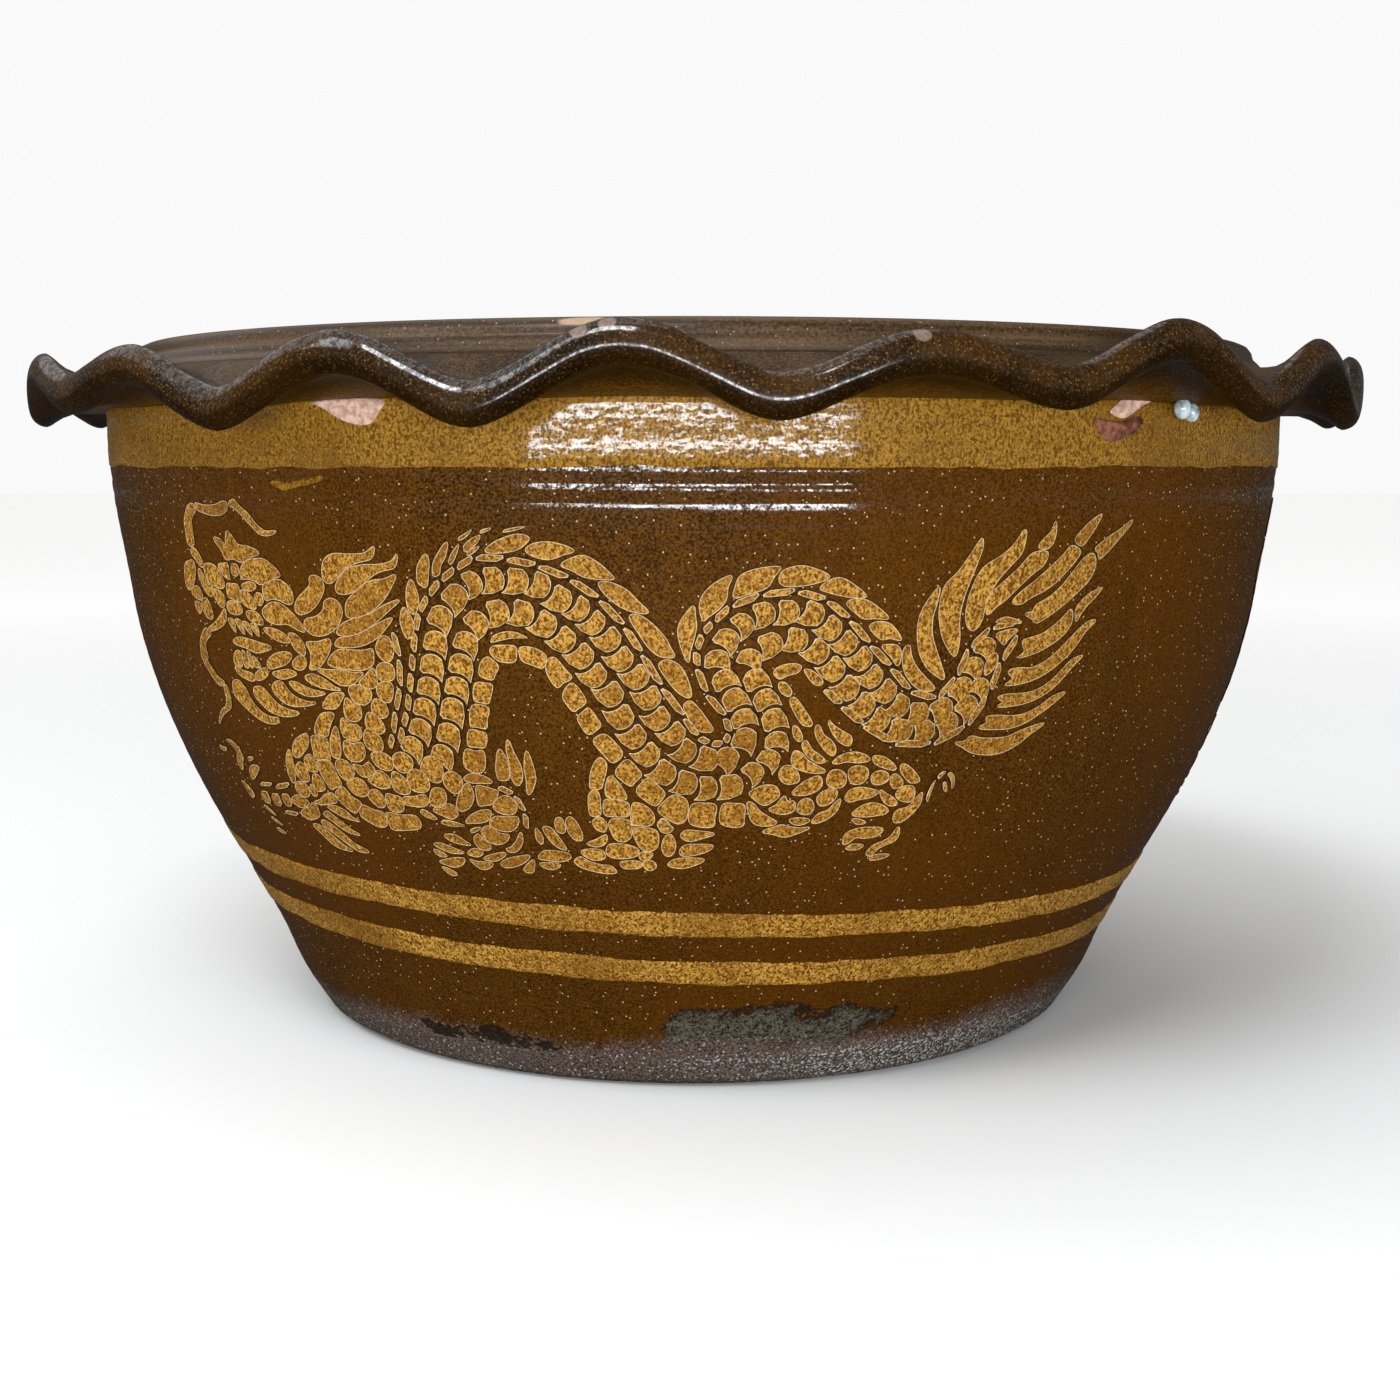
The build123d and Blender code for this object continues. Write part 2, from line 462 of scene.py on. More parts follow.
def bare_clay():
    """Coarse grey-brown clay, worn, with a pale salty crust at the very edge."""
    material, place = new_material("bare_stoneware")
    grain = cloud(place, 1100.0, 2.0)
    patches = cloud(place, 26.0, 5.0)
    clay = tint(fade(grain, 0.36, 0.64), bare_dark, bare_pale)
    clay = tint(fade(patches, 0.45, 0.62) * 0.4, clay, bare_grey)
    clay = tint(specks(place, 420.0, 0.24) * 0.7, clay, clay_grit)
    salted = salty_side(place)
    crust = fade(cloud(place, 850.0, 5.0) + salted * 0.03, 0.545, 0.61)
    crust = crust * fade(cloud(place, 9.0, 4.0) + salted * 0.25, 0.46, 0.64)
    clay = tint(crust * 0.8, clay, salt_white)
    relief = grain * 0.4 + patches * 0.6 + crust * 0.5
    finish_surface(
        place, Base_Color=clay, Roughness=0.82, Normal=bumpy(relief, 0.8, 0.0012), Specular_IOR_Level=0.1,
    )
    return material


clay = bare_clay()
floor_edge = [(0, 0), (foot_radius - foot_edge_bevel, 0), (wall_radius(foot_edge_bevel), foot_edge_bevel)]
floor_edge += [(wall_radius(foot_side_height), foot_side_height), (wall_radius(wall_bottom), wall_bottom)]
disc = line_mesh(floor_edge + [(0, wall_bottom)], 3)
turned(disc, floor_columns)
roughen(disc, 1.0)
floor_disc = add_piece("floor_disc_clay", disc, clay, "bare_stoneware", "floor_disc")
floor_disc.data.materials.append(brown)
for face in floor_disc.data.polygons:
    face.material_index = 1 if face.normal.z > 0.9 else 0


# Coil in the corner. A coil pressed into the angle between floor and wall,
# smoothed with a wet finger to a hollow slope and glazed with the inside.
coil_tip_radius = 149.8
coil_top_height = 40.0
coil_steps = 14
coil_columns = 180

coil = line_mesh([(coil_tip_radius, wall_bottom), (coil_tip_radius + 1, wall_bottom)], coil_steps - 1)
coil_top_radius = wall_radius(coil_top_height) - wall_thickness
for index, dot in enumerate(sorted(coil.verts, key=lambda dot: dot.co.x)):
    swing = index / coil_steps * pi / 2
    dot.co.x = coil_tip_radius + (coil_top_radius - coil_tip_radius) * math.sin(swing)
    dot.co.z = wall_bottom + (coil_top_height - wall_bottom) * (1 - math.cos(swing))
turned(coil, coil_columns)
bmesh.ops.reverse_faces(coil, faces=[face for face in coil.faces if face.normal.z < 0])
add_piece("corner_coil_clay", coil, brown, "brown_glaze", "corner_coil")


# Collar. A low upright lip thrown on above the flange, swept out at its foot
# where the flange is luted on. A few fine lines run round it, and one tan
# chip is knocked out of the glaze on its lip.
collar_corners = (
    (266.5, 282.0), (264.0, 285.3), (260.6, 286.2), (257.6, 287.8), (255.4, 290.2), (254.7, 290.9),
    (254.0, 291.4), (253.6, 292.2), (252.9, 294.6), (251.2, 296.8), (248.8, 297.85), (246.0, 297.7),
    (243.4, 296.2), (242.2, 293.4), (243.6, 289.0), (248.0, 283.6), (252.2, 279.0),
)
collar_columns = 240
collar_roughness = 0.6
collar_dark = (0.022, 0.010, 0.003, 1)
collar_grey = (0.092, 0.053, 0.024, 1)
collar_brown = (0.050, 0.021, 0.005, 1)
collar_iron = (0.02, 0.009, 0.004, 1)
collar_sand = (0.46, 0.34, 0.20, 1)
tan_dark = (0.24, 0.15, 0.09, 1)
tan_pale = (0.46, 0.31, 0.19, 1)
lip_chip_middle = (-0.0109, -0.2497, 0.2978)
lip_chip_stretch = (0.27, 1.0, 1.0)


def scar(place, point, reach, ragged=0.003):
    """Spot with a ragged edge round a point, 1 inside and 0 outside."""
    edge = distance_from(place, point) + cloud(place, 240.0) * ragged
    return 1.0 - fade(edge, reach, reach + 0.0008)


def collar_glaze():
    """The brown glaze again, thinner and greyer, with dry lines round it."""
    material, place = new_material("collar_glaze")
    grain = cloud(place, 900.0, 2.0)
    lines = cloud(place, 330.0, 3.0, (0.016, 0.016, 1.0))
    glaze = tint(fade(grain * 0.45 + lines * 0.55, 0.36, 0.64), collar_dark, collar_grey)
    glaze = tint(fade(cloud(place, 14.0, 4.0), 0.45, 0.65) * 0.5, glaze, collar_brown)
    glaze = tint(specks(place, 340.0, 0.2) * 0.6, glaze, collar_iron)
    glaze = tint(specks(place, 300.0, 0.12) * 0.6, glaze, collar_sand)
    chipped = scar(stretched(place, lip_chip_stretch), lip_chip_middle, 0.0034, 0.0016)
    glaze = tint(chipped, glaze, tint(grain, tan_dark, tan_pale))
    relief = lines * 0.9 + grain * 0.2 - chipped * 0.5
    finish_surface(
        place, Base_Color=glaze, Roughness=0.36 + grain * 0.18, Normal=bumpy(relief, 0.6, 0.0006),
        Coat_Weight=0.15 + lines * 0.2, Coat_Roughness=0.25, Specular_IOR_Level=0.12,
    )
    return material


collar = line_mesh(collar_corners, 1)
turned(collar, collar_columns)
roughen(collar, collar_roughness)
add_piece("neck_collar_lip", collar, collar_glaze(), "brown_glaze", "neck_collar")



# Ruffle. A flange luted on under the collar, its full round edge pinched up
# and down between the fingers into eighteen waves, no two quite alike. The
# lifts say by how many millimetres each crest and trough strays.
wave_count = 18
crest_azimuth = math.radians(-4.3)
edge_middle = 277.0
edge_reach = 293.4
edge_radius = 6.35
wave_height = 8.45
crest_narrowing = 0.85
roll_swell = 0.41
roll_swell_loss = 0.006
root_reach = 263.5
web_start = -0.55
web_middle = 275.6
web_half_thickness = 5.3
web_waist = 1.6
root_spread_above = 5.0
root_spread_below = 0.9
flange_steps = 48
flange_columns = 576
edge_unevenness = 0.5
edge_unevenness_spacing = 14
left_azimuth = math.radians(-92)
left_shortfall = 6.0
left_shortfall_width = 0.35
crest_lifts = (
    0.2, -3.0, 3.9, 1.4, -0.8, 1.6, -1.9, 0.6, 2.4, -1.2, 0.4, 1.9, -2.2, -1.5, -7.6, -2.4, -3.6, -2.0,
)
trough_lifts = (
    -0.8, 2.9, 0.1, -1.4, 1.2, -0.7, 1.8, -1.9, 0.3, 1.1, -0.9, 0.6, -1.6, 2.3, 0.6, 3.9, -3.7, -3.3,
)
rim_black = (0.0050, 0.0019, 0.0001, 1)
rim_brown = (0.026, 0.0090, 0.0003, 1)
rim_olive = (0.070, 0.033, 0.003, 1)
rim_sand = (0.22, 0.13, 0.03, 1)
painted_underside_shade = (0.0060, 0.0022, 0.0001, 1)
splash_dark = (0.050, 0.018, 0.001, 1)
splash_pale = (0.140, 0.062, 0.006, 1)
rubbed_sheen_dark = (0.022, 0.009, 0.0015, 1)
rubbed_sheen_pale = (0.074, 0.038, 0.012, 1)
chip_dark = (0.08, 0.05, 0.04, 1)
chip_pale = (0.24, 0.16, 0.13, 1)
edge_chip_middles = ((-0.0360, -0.2950, 0.2895), (-0.0271, -0.2960, 0.2925), (0.0754, -0.2876, 0.2893))


def edge_height(azimuth):
    """Height of the middle of the pinched edge."""
    turn = ((azimuth - crest_azimuth) / (2 * pi) % 1.0) * wave_count
    wave = int(turn) % wave_count
    share = turn - int(turn)
    swing = (0.5 + 0.5 * math.cos(2 * pi * share)) ** crest_narrowing
    crest = crest_lifts[wave] if share < 0.5 else crest_lifts[(wave + 1) % wave_count]
    return edge_middle + wave_height * (2 * swing - 1) + crest * swing + trough_lifts[wave] * (1 - swing)


# The cut through the flange starts as a circle. Its outer part stays round as
# the edge, and its inner part is drawn in to the root as the web. The side
# layer is 1 on the web's upper face and -1 on everything below; the rim glaze
# reads it for a painted sheen on top and painted shade below.
flange = bmesh.new()
side_layer = flange.verts.layers.float.new("side")
bmesh.ops.create_circle(flange, segments=flange_steps, radius=1.0)
bmesh.ops.rotate(flange, cent=(0, 0, 0), matrix=Matrix.Rotation(pi / 2, 3, "X"), verts=flange.verts)
for dot in flange.verts:
    across, up = dot.co.x, dot.co.z
    if across > web_start:
        dot.co.x = edge_reach + edge_radius * across
        dot.co.z = edge_radius * up
    else:
        share = (web_start - across) / (1 + web_start)
        edge_end = edge_reach + edge_radius * web_start * (1 - share)
        spread = root_spread_above if up > 0 else root_spread_below
        thickness = web_half_thickness - web_waist * math.sin(pi * min(share * 1.6, 1.0)) + spread * share**3
        dot.co.x = edge_end + (root_reach - edge_reach) * share
        dot.co.z = thickness if up >= 0 else -thickness
        dot[side_layer] = min(share * 4, 1.0) if up >= 0 else 0.0
    dot[side_layer] -= min(max(0.2 - up, 0.0) * 2, 1.0)
turned(flange, flange_columns)
for dot in flange.verts:
    azimuth = math.atan2(dot.co.x, -dot.co.y)
    reach = math.hypot(dot.co.x, dot.co.y)
    share = min(max((reach - root_reach) / (edge_reach - root_reach), 0.0), 1.0)
    level = edge_height(azimuth)
    if dot.co.z > 0:
        dot.co.z *= 1 + (roll_swell - roll_swell_loss * (level - edge_middle)) * share**2
    uneven = edge_unevenness * noise.noise(dot.co / edge_unevenness_spacing) * share
    dot.co.z += web_middle + (level - web_middle) * share**1.3 + uneven
    from_left = (azimuth - left_azimuth) / left_shortfall_width
    dot.co.xy *= 1 - left_shortfall * math.exp(-(from_left**2)) * share / reach


def carried(place, name):
    """Value that the mesh carries on its vertices under a name."""
    return place.node("ShaderNodeAttribute", {"attribute_name": name}, {}, "Fac")


def rim_glaze():
    """Thick glossy olive-brown glaze with pale grains, worn, chipped and with a painted sheen on top, and
    painted shade underneath.
    """
    material, place = new_material("rim_glaze")
    grain = cloud(place, 1000.0)
    patches = cloud(place, 30.0, 4.0)
    side = carried(place, "side")
    worn_and_sheen = fade(side, 0.0, 1.0) * 0.85
    below = 1.0 - fade(side, -1.0, 0.0)
    glaze = tint(fade(patches * 0.7 + cloud(place, 8.0, 2.0) * 0.3, 0.38, 0.62), rim_black, rim_brown)
    glaze = tint(fade(grain, 0.48, 0.64) * 0.5, glaze, rim_olive)
    glaze = tint(specks(place, 640.0, 0.24) * 0.5, glaze, rim_sand)
    # painted shade: the underside of the flange is darkened almost to black, where shade falls
    glaze = tint(below * 0.65, glaze, painted_underside_shade)
    splashed = (1.0 - fade(distance_from_axis(place), 0.267, 0.284)) * below
    glaze = tint(splashed * 0.55, glaze, tint(fade(grain, 0.40, 0.60), splash_dark, splash_pale))
    # the web's upper face is lighter and less glossy: partly wear, partly a painted sheen of the light from
    # above
    rubbed_and_sheen = tint(fade(grain * 0.5 + patches * 0.5, 0.4, 0.6), rubbed_sheen_dark, rubbed_sheen_pale)
    glaze = tint(worn_and_sheen, glaze, rubbed_and_sheen)
    for middle in edge_chip_middles:
        glaze = tint(scar(place, middle, 0.0040) * 0.85, glaze, tint(grain, chip_dark, chip_pale))
    relief = grain * 0.45 + patches * 0.8
    broken = fade(cloud(place, 420.0) * 0.6 + grain * 0.4, 0.42, 0.60)
    wet = (0.25 + broken * 0.75) * (0.9 - worn_and_sheen * 0.88) * (1.0 - below)
    finish_surface(
        place, Base_Color=glaze, Roughness=0.30 + grain * 0.1, Normal=bumpy(relief, 0.8, 0.0010),
        Coat_Weight=wet, Coat_Roughness=0.13, Coat_IOR=1.9, Specular_IOR_Level=0.05,
    )
    return material


add_piece("ruffled_rim_edge", flange, rim_glaze(), "rim_glaze", "ruffled_rim")


# Knocks. Where the jar was struck under the flange the glaze has come away in
# three flakes, each laid as a thin skin of raw clay over the slip, and two
# milky beads of glaze hang beside the right ones.
skin_slope_width = 0.5
flake_lift = 1.25
low_flake_lift = 1.1
steps_between_corners = 4
pink_dark = (0.27, 0.165, 0.125, 1)
pink_pale = (0.48, 0.31, 0.24, 1)
purple_dark = (0.110, 0.036, 0.020, 1)
purple_pale = (0.200, 0.078, 0.046, 1)
milk_dark = (0.10, 0.12, 0.12, 1)
milk_pale = (0.40, 0.46, 0.48, 1)
bead_sizes = (((181.6, -202.0, 267.6), 3.2), ((186.2, -197.4, 266.2), 2.8))
bead_stretch = (1, 1, 1.25)


def outlined(mesh, outline):
    """Patch drawn corner by corner as u, v, u, v and softened between corners."""
    points = [Vector(outline[index:index + 2]) for index in range(0, len(outline), 2)]
    steps = steps_between_corners
    patch = bmesh.ops.create_circle(mesh, segments=steps * len(points), radius=1.0, cap_ends=True)["verts"]
    for index, dot in enumerate(patch):
        here, share = index // steps, index % steps / steps
        p0, p1, p2, p3 = (points[(here + step) % len(points)] for step in (-1, 0, 1, 2))
        spot = (
            p1 + (p2 - p0) * (share / 2) + (2 * p0 - 5 * p1 + 4 * p2 - p3) * (share**2 / 2)
            + (3 * p1 - p0 - 3 * p2 + p3) * (share**3 / 2)
        )
        dot.co = (*spot, 0.0)
    return patch


def slope_edge(mesh, faces, width):
    """Inset the faces all together, so that a sloping edge is left round them."""
    bmesh.ops.inset_region(
        mesh, faces=faces, thickness=width, depth=0.0, use_boundary=True, use_even_offset=False,
    )


def flake_clay(name, dark, pale):
    """Raw clay of the wall, open where glaze has flaked off."""
    material, place = new_material(name)
    grain = cloud(place, 420.0, 4.0)
    finish_surface(
        place, Base_Color=tint(fade(grain, 0.35, 0.65), dark, pale), Roughness=0.85,
        Normal=bumpy(grain, 0.8, 0.0008), Specular_IOR_Level=0.1,
    )
    return material


def add_skin_patch(name, material, slot, lift, outline):
    """Thin patch lifted off the wall, its outline in millimetres along the wall and up it."""
    skin = bmesh.new()
    patch = outlined(skin, outline)
    faces = list({face for dot in patch for face in dot.link_faces})
    slope_edge(skin, faces, skin_slope_width)
    inner = {dot for face in faces for dot in face.verts}
    for dot in skin.verts:
        azimuth = dot.co.x / wall_radius(dot.co.y)
        dot.co = wall_place(azimuth, dot.co.y, lift if dot in inner else 0.0)
    bmesh.ops.recalc_face_normals(skin, faces=skin.faces)
    add_piece(name, skin, material, slot)


pink_clay = flake_clay("pink_clay", pink_dark, pink_pale)
purple_clay = flake_clay("purple_clay", purple_dark, purple_pale)
add_skin_patch("flake_left", pink_clay, "bare_stoneware", flake_lift, (
    -142.5, 269, -137.5, 267.2, -133, 264.8, -128.5, 262.6, -123.5, 261.2, -118.5, 260.6, -114.5, 261.8,
    -112, 265.2, -109.6, 269.2, -118, 270.4, -130, 270.4,
))
add_skin_patch("flake_right", pink_clay, "bare_stoneware", flake_lift, (
    160.6, 266.2, 163.5, 264.2, 168.5, 263.6, 173.5, 265.8, 179, 268.6, 185.4, 270.6, 181, 271.4,
    174, 271.2, 168, 271.4, 164.5, 269,
))
add_skin_patch("flake_below", purple_clay, "bare_stoneware", low_flake_lift, (
    153, 263, 158.6, 262.4, 163, 262.2, 168, 262.4, 173.4, 264, 177.6, 263.2, 174.6, 259.6, 169.6, 257.6,
    164, 256, 158, 256.6, 155, 259.6,
))

beads = bmesh.new()
for middle, size in bead_sizes:
    bead = bmesh.ops.create_icosphere(beads, subdivisions=3, radius=size)["verts"]
    bmesh.ops.scale(beads, vec=bead_stretch, verts=bead)
    bmesh.ops.translate(beads, vec=middle, verts=bead)


def bead_glaze():
    """Milky blue-white glaze run together to drops."""
    material, place = new_material("bead_glaze")
    milky = fade(cloud(place, 160.0), 0.35, 0.65)
    finish_surface(place, Base_Color=tint(milky, milk_dark, milk_pale), Roughness=0.2, Coat_Weight=0.4)
    return material


add_piece("glaze_beads", beads, bead_glaze(), "rim_glaze")


# Slip band and stripes. Mustard slip brushed on while the jar turned: one
# broad band under the flange, two narrow stripes low on the flare, drawn a
# little askew, and a smear where the brush touched the wall on the left.
band_bottom = 246.0
band_top = 271.5
stripe_lower_bottom = 48.5
stripe_lower_top = 59.0
stripe_upper_bottom = 69.8
stripe_upper_top = 80.3
stripe_tilt = math.tan(math.radians(2.0))
slip_lift = 0.55
slip_sunk = -0.25
slip_slope_width = 1.2
smear_lift = 0.6
slip_columns = 720
slip_rows = 10
brush_strays = ((1.1, 6), (0.7, 19), (0.35, 55))
thin_glaze_and_highlight_edge = (0.60, 0.48, 0.30, 1)
slip_dark_edge = (0.016, 0.005, 0.0003, 1)
slip_iron = (0.040, 0.012, 0.001, 1)


def slip_material(name, dark, pale, rust, blotches):
    """Mustard slip under clear glaze, curdled, with rusty runs, and pale edges where the glaze runs thin,
    partly painted highlight.
    """
    material, place = new_material(name)
    grain = cloud(place, 1100.0, 2.0)
    curd = cloud(place, 900.0, 3.0, (1.0, 1.0, 0.6))
    streaks = cloud(place, 650.0, 3.0, (0.4, 0.4, 1.0))
    bands = cloud(place, 230.0, 3.0, (0.012, 0.012, 1.0))
    patches = cloud(place, 22.0, 4.0)
    slip = tint(fade(grain * 0.45 + curd * 0.55, 0.40, 0.60), dark, pale)
    slip = tint(fade(curd * 0.6 + patches * 0.4, 0.51, 0.60) * 0.75, slip, rust)
    slip = tint(fade(cloud(place, 260.0), 0.50, 0.62) * blotches, slip, rust)
    slip = tint(specks(place, 520.0, 0.22) * 0.5, slip, slip_iron)
    rim = carried(place, "rim")
    # pale rim round each patch: glaze running thin over the edge, partly a painted highlight on it
    slip = tint(fade(rim, 0.08, 0.34) * 0.6, slip, thin_glaze_and_highlight_edge)
    slip = tint(fade(rim, 0.40, 0.54), slip, slip_dark_edge)
    relief = grain * 0.5 + curd * 0.7 + bands * 0.6
    broken = fade(streaks * 0.5 + grain * 0.3 + bands * 0.5 + patches * 0.25, 0.735, 0.90)
    wet = fade(height_of(place), 0.205, 0.240) * (0.03 + broken) * 0.65
    finish_surface(
        place, Base_Color=slip, Roughness=0.30 + grain * 0.14, Normal=bumpy(relief, 0.8, 0.0008),
        Coat_Weight=wet, Coat_Roughness=0.10, Coat_IOR=1.7, Specular_IOR_Level=0.05,
    )
    return material


brushed_slip = slip_material(
    "brushed_slip", dark=(0.085, 0.035, 0.002, 1), pale=(0.280, 0.142, 0.017, 1),
    rust=(0.105, 0.042, 0.002, 1), blotches=0.15,
)
stripe_slip = slip_material(
    "stripe_slip", dark=(0.075, 0.025, 0.001, 1), pale=(0.420, 0.225, 0.036, 1),
    rust=(0.105, 0.036, 0.001, 1), blotches=0.45,
)


def brush_waver(spot):
    """How far the brush strayed from its line, in millimetres."""
    return sum(stray * noise.noise(spot * often) for stray, often in brush_strays)


def slip_ring(bottom, top, tilt):
    """Skin of slip round the wall whose edges waver with the brush and slope to the wall."""
    skin = bmesh.new()
    bmesh.ops.create_grid(skin, x_segments=slip_columns, y_segments=slip_rows, size=1.0)
    for dot in skin.verts:
        azimuth = dot.co.x * pi
        share = dot.co.y * 0.5 + 0.5
        spot = Vector((math.cos(azimuth), math.sin(azimuth), 0.0))
        low = bottom + brush_waver(spot + Vector((0, 0, bottom)))
        high = top + brush_waver(spot + Vector((0, 0, top)))
        at_edge = abs(dot.co.y) > 0.99
        if not at_edge:
            share = 0.5 + (share - 0.5) * (1 - slip_slope_width / (high - low)) / (1 - 2 / slip_rows)
        level = low + (high - low) * share
        height = level - tilt * wall_radius(level) * math.sin(azimuth)
        dot.co = wall_place(azimuth, height, slip_sunk if at_edge else slip_lift)
    bmesh.ops.remove_doubles(skin, verts=skin.verts, dist=0.05)
    bmesh.ops.recalc_face_normals(skin, faces=skin.faces)
    return skin


band = slip_ring(band_bottom, band_top, 0.0)
upper_stripe = slip_ring(stripe_upper_bottom, stripe_upper_top, stripe_tilt)
lower_stripe = slip_ring(stripe_lower_bottom, stripe_lower_top, stripe_tilt)
add_piece("slip_band_skin", band, brushed_slip, "mustard_slip", "slip_band")
add_skin_patch("brush_smear", brushed_slip, "mustard_slip", smear_lift, (
    -164, 240.6, -160, 238.6, -156.5, 237.6, -152, 238.6, -148, 239.4, -143, 240.2, -138.4, 241.6,
    -138.6, 243.2, -144, 242.6, -150, 241.6, -156, 240.6, -160, 241.8,
))
add_piece("stripe_upper_skin", upper_stripe, stripe_slip, "mustard_slip", "stripe_upper")
add_piece("stripe_lower_skin", lower_stripe, stripe_slip, "mustard_slip", "stripe_lower")


# Dragons. Three of them, alike, chase each other round the wall to the left.
# Each is laid on in thick slip, patch by patch, so that every scale, fin and
# claw stands up as a small pillow with the dark glaze between.
unrolled_radius = 250.0
ground_below_drawing = 1.0
drawing_lean = 0.030
drawing_lean_at_ground = -9.8
slip_relief = 0.5
slip_root = -0.25
slip_edge = 0.45
pale_rim = 0.95
crown_fall = 0.15
gap_between_scales = 0.3
gap_in_strip = 0.35
strip_swell = 0.7
scale_swell = 0.3
leaf_swell = 0.9
leaf_bluntness = 0.45
leaf_sharpness = 0.8
leaf_fullness = 0.445
plate_swell = 0.9
scale_bow = 4.6
scale_setback = 0.6
scale_depth_limit = 11
nearly_edge = 0.999
dragon_turns = (("dragon_front", 0.0), ("dragon_right", 120.0), ("dragon_left", -120.0))

dragon = bmesh.new()
rim = dragon.verts.layers.float.new("rim")


def lay_patch(columns, rows, length, width, outline):
    """Pillow of slip on the unrolled wall, its outline given for -1 to 1 each way."""
    ahead = 1 - 2 * slip_edge / max(length, 4 * slip_edge)
    aside = 1 - 2 * slip_edge / max(width, 4 * slip_edge)
    patch = bmesh.ops.create_grid(dragon, x_segments=columns, y_segments=rows, size=1.0)["verts"]
    for dot in patch:
        along, across = dot.co.x, dot.co.y
        border = max(abs(along), abs(across)) > nearly_edge
        if abs(along) < nearly_edge:
            along *= ahead / (1 - 2 / columns)
        if abs(across) < nearly_edge:
            across *= aside / (1 - 2 / rows)
        crown = slip_relief * (1 - crown_fall * (along * along + across * across))
        dot.co = (*outline(along, across), slip_root if border else crown)
        dot[rim] = 1 - min((1 - abs(along)) * length, (1 - abs(across)) * width) / (2 * pale_rim)


def lay_leaf(root, bend, tip, width):
    """Leaf with a blunt root and a pointed tip, its spine drawn towards the bend."""
    root, control, tip = Vector(root), Vector(bend), Vector(tip)
    width += leaf_swell

    def outline(along, across):
        share = along * 0.5 + 0.5
        spine = (1 - share) ** 2 * root + 2 * share * (1 - share) * control + share**2 * tip
        heading = ((1 - share) * (control - root) + share * (tip - control)).normalized()
        swell = (max(share, 0.012) ** leaf_bluntness) * (max(1 - share, 0.004) ** leaf_sharpness)
        aside = across * width / 2 * min(swell / leaf_fullness, 1.0)
        return spine + Vector((-heading.y, heading.x)) * aside

    lay_patch(12, 4, (tip - root).length, width, outline)


def lay_leaves(*leaves):
    """Leaves given as root, bend, tip and width, the bend left out where straight."""
    for leaf in leaves:
        root, tip, width = leaf[:2], leaf[-3:-1], leaf[-1]
        bend = leaf[2:4] if len(leaf) == 7 else ((root[0] + tip[0]) / 2, (root[1] + tip[1]) / 2)
        lay_leaf(root, bend, tip, width)


def lay_plate(middle, heading_degrees, length, width, front=0.45, back=0.2):
    """Rounded plate; the front and back say how far its corners are cut."""
    heading = Vector((math.cos(math.radians(heading_degrees)), math.sin(math.radians(heading_degrees))))
    side = Vector((-heading.y, heading.x))
    length += plate_swell
    width += plate_swell

    def outline(along, across):
        corner = front if along > 0 else back
        ahead = along * math.sqrt(1 - corner * across * across)
        aside = across * math.sqrt(1 - corner * along * along)
        return Vector(middle) + heading * (ahead * length / 2) + side * (aside * width / 2)

    lay_patch(6, 6, length, width, outline)


def lay_scales(half_width, *middles):
    """Row of overlapping scales, round in front and hollow behind."""
    half_width += scale_swell
    points = [Vector(middle) for middle in middles]
    for here, point in enumerate(points):
        before = points[max(here - 1, 0)]
        after = points[min(here + 1, len(points) - 1)]
        heading = (after - before).normalized()
        side = Vector((-heading.y, heading.x))
        pitch = (point - before).length if here else (after - point).length
        depth = min(pitch, scale_depth_limit) - gap_between_scales

        def outline(along, across):
            bow = scale_bow * math.sqrt(max(0.0, 1 - across * across)) - scale_setback
            back = depth * (1 - 0.08 * across * across)
            return point + heading * (bow - back * (0.5 - along / 2)) + side * (half_width * across)

        lay_patch(5, 8, depth, 2 * half_width, outline)


def lay_strip(width, *path):
    """Thin band of slip along a path, cut at each of its points."""
    width += strip_swell
    points = [Vector(point) for point in path]
    for start, end in zip(points, points[1:]):
        heading = (end - start).normalized()
        side = Vector((-heading.y, heading.x))
        middle = (start + end) / 2
        reach = (end - start).length / 2 - gap_between_scales * gap_in_strip

        def outline(along, across):
            aside = across * width / 2 * math.sqrt(1 - 0.5 * along**6)
            return middle + heading * (along * reach) + side * aside

        lay_patch(6, 4, 2 * reach, width, outline)


def lay_outlines(*outlines):
    """Patches of slip whose edges slope down to the wall, given by their outlines."""
    for outline in outlines:
        patch = outlined(dragon, outline)
        for dot in patch:
            dot.co.z = slip_root
            dot[rim] = 1
        faces = list({face for dot in patch for face in dot.link_faces})
        for step in (slip_edge, pale_rim):
            slope_edge(dragon, faces, slip_edge)
            for dot in faces[0].verts:
                dot.co.z = slip_relief * 0.95
                dot[rim] = 1 - step / pale_rim


# whiskers
lay_outlines(
    (-209.6, 215.5, -210, 222, -208.5, 227, -205, 230.3, -201.3, 231, -201, 228.4, -203.5, 226.5, -205, 222,
     -205.2, 215.8),
    (-199.5, 231.3, -194, 230.6, -187, 230.8, -182, 232.2, -179.4, 231.6, -180, 229.5, -184, 227.6,
     -190, 227.2, -196, 228.2, -199.6, 229.3),
    (-178, 231.5, -175.5, 233, -172.5, 230.8, -168.5, 228, -164.5, 224.3, -160, 221.6, -154.5, 221.8,
     -158.5, 220.3, -163, 220.7, -167, 223.7, -171, 227, -175, 229.8),
    (-190.4, 191, -190.2, 188, -193, 185, -198, 183, -202.6, 182, -206, 180.6, -203.6, 183, -200, 184.6,
     -195, 187.6),
    (-206.4, 182.6, -203.6, 180.6, -207, 178.4, -209.6, 175.4, -209.8, 170.6, -214.4, 170, -214, 174,
     -211.4, 179),
    (-214, 168.8, -210.4, 169, -208.4, 166.4, -204.6, 163, -201, 161.6, -205.4, 160, -209.6, 163.4),
    (-202.6, 159.4, -200.2, 160, -199.6, 156, -202, 151.4, -207, 149, -212, 146.6, -216.6, 143.4,
     -211, 148.6, -205.6, 151.4, -202.8, 155),
)

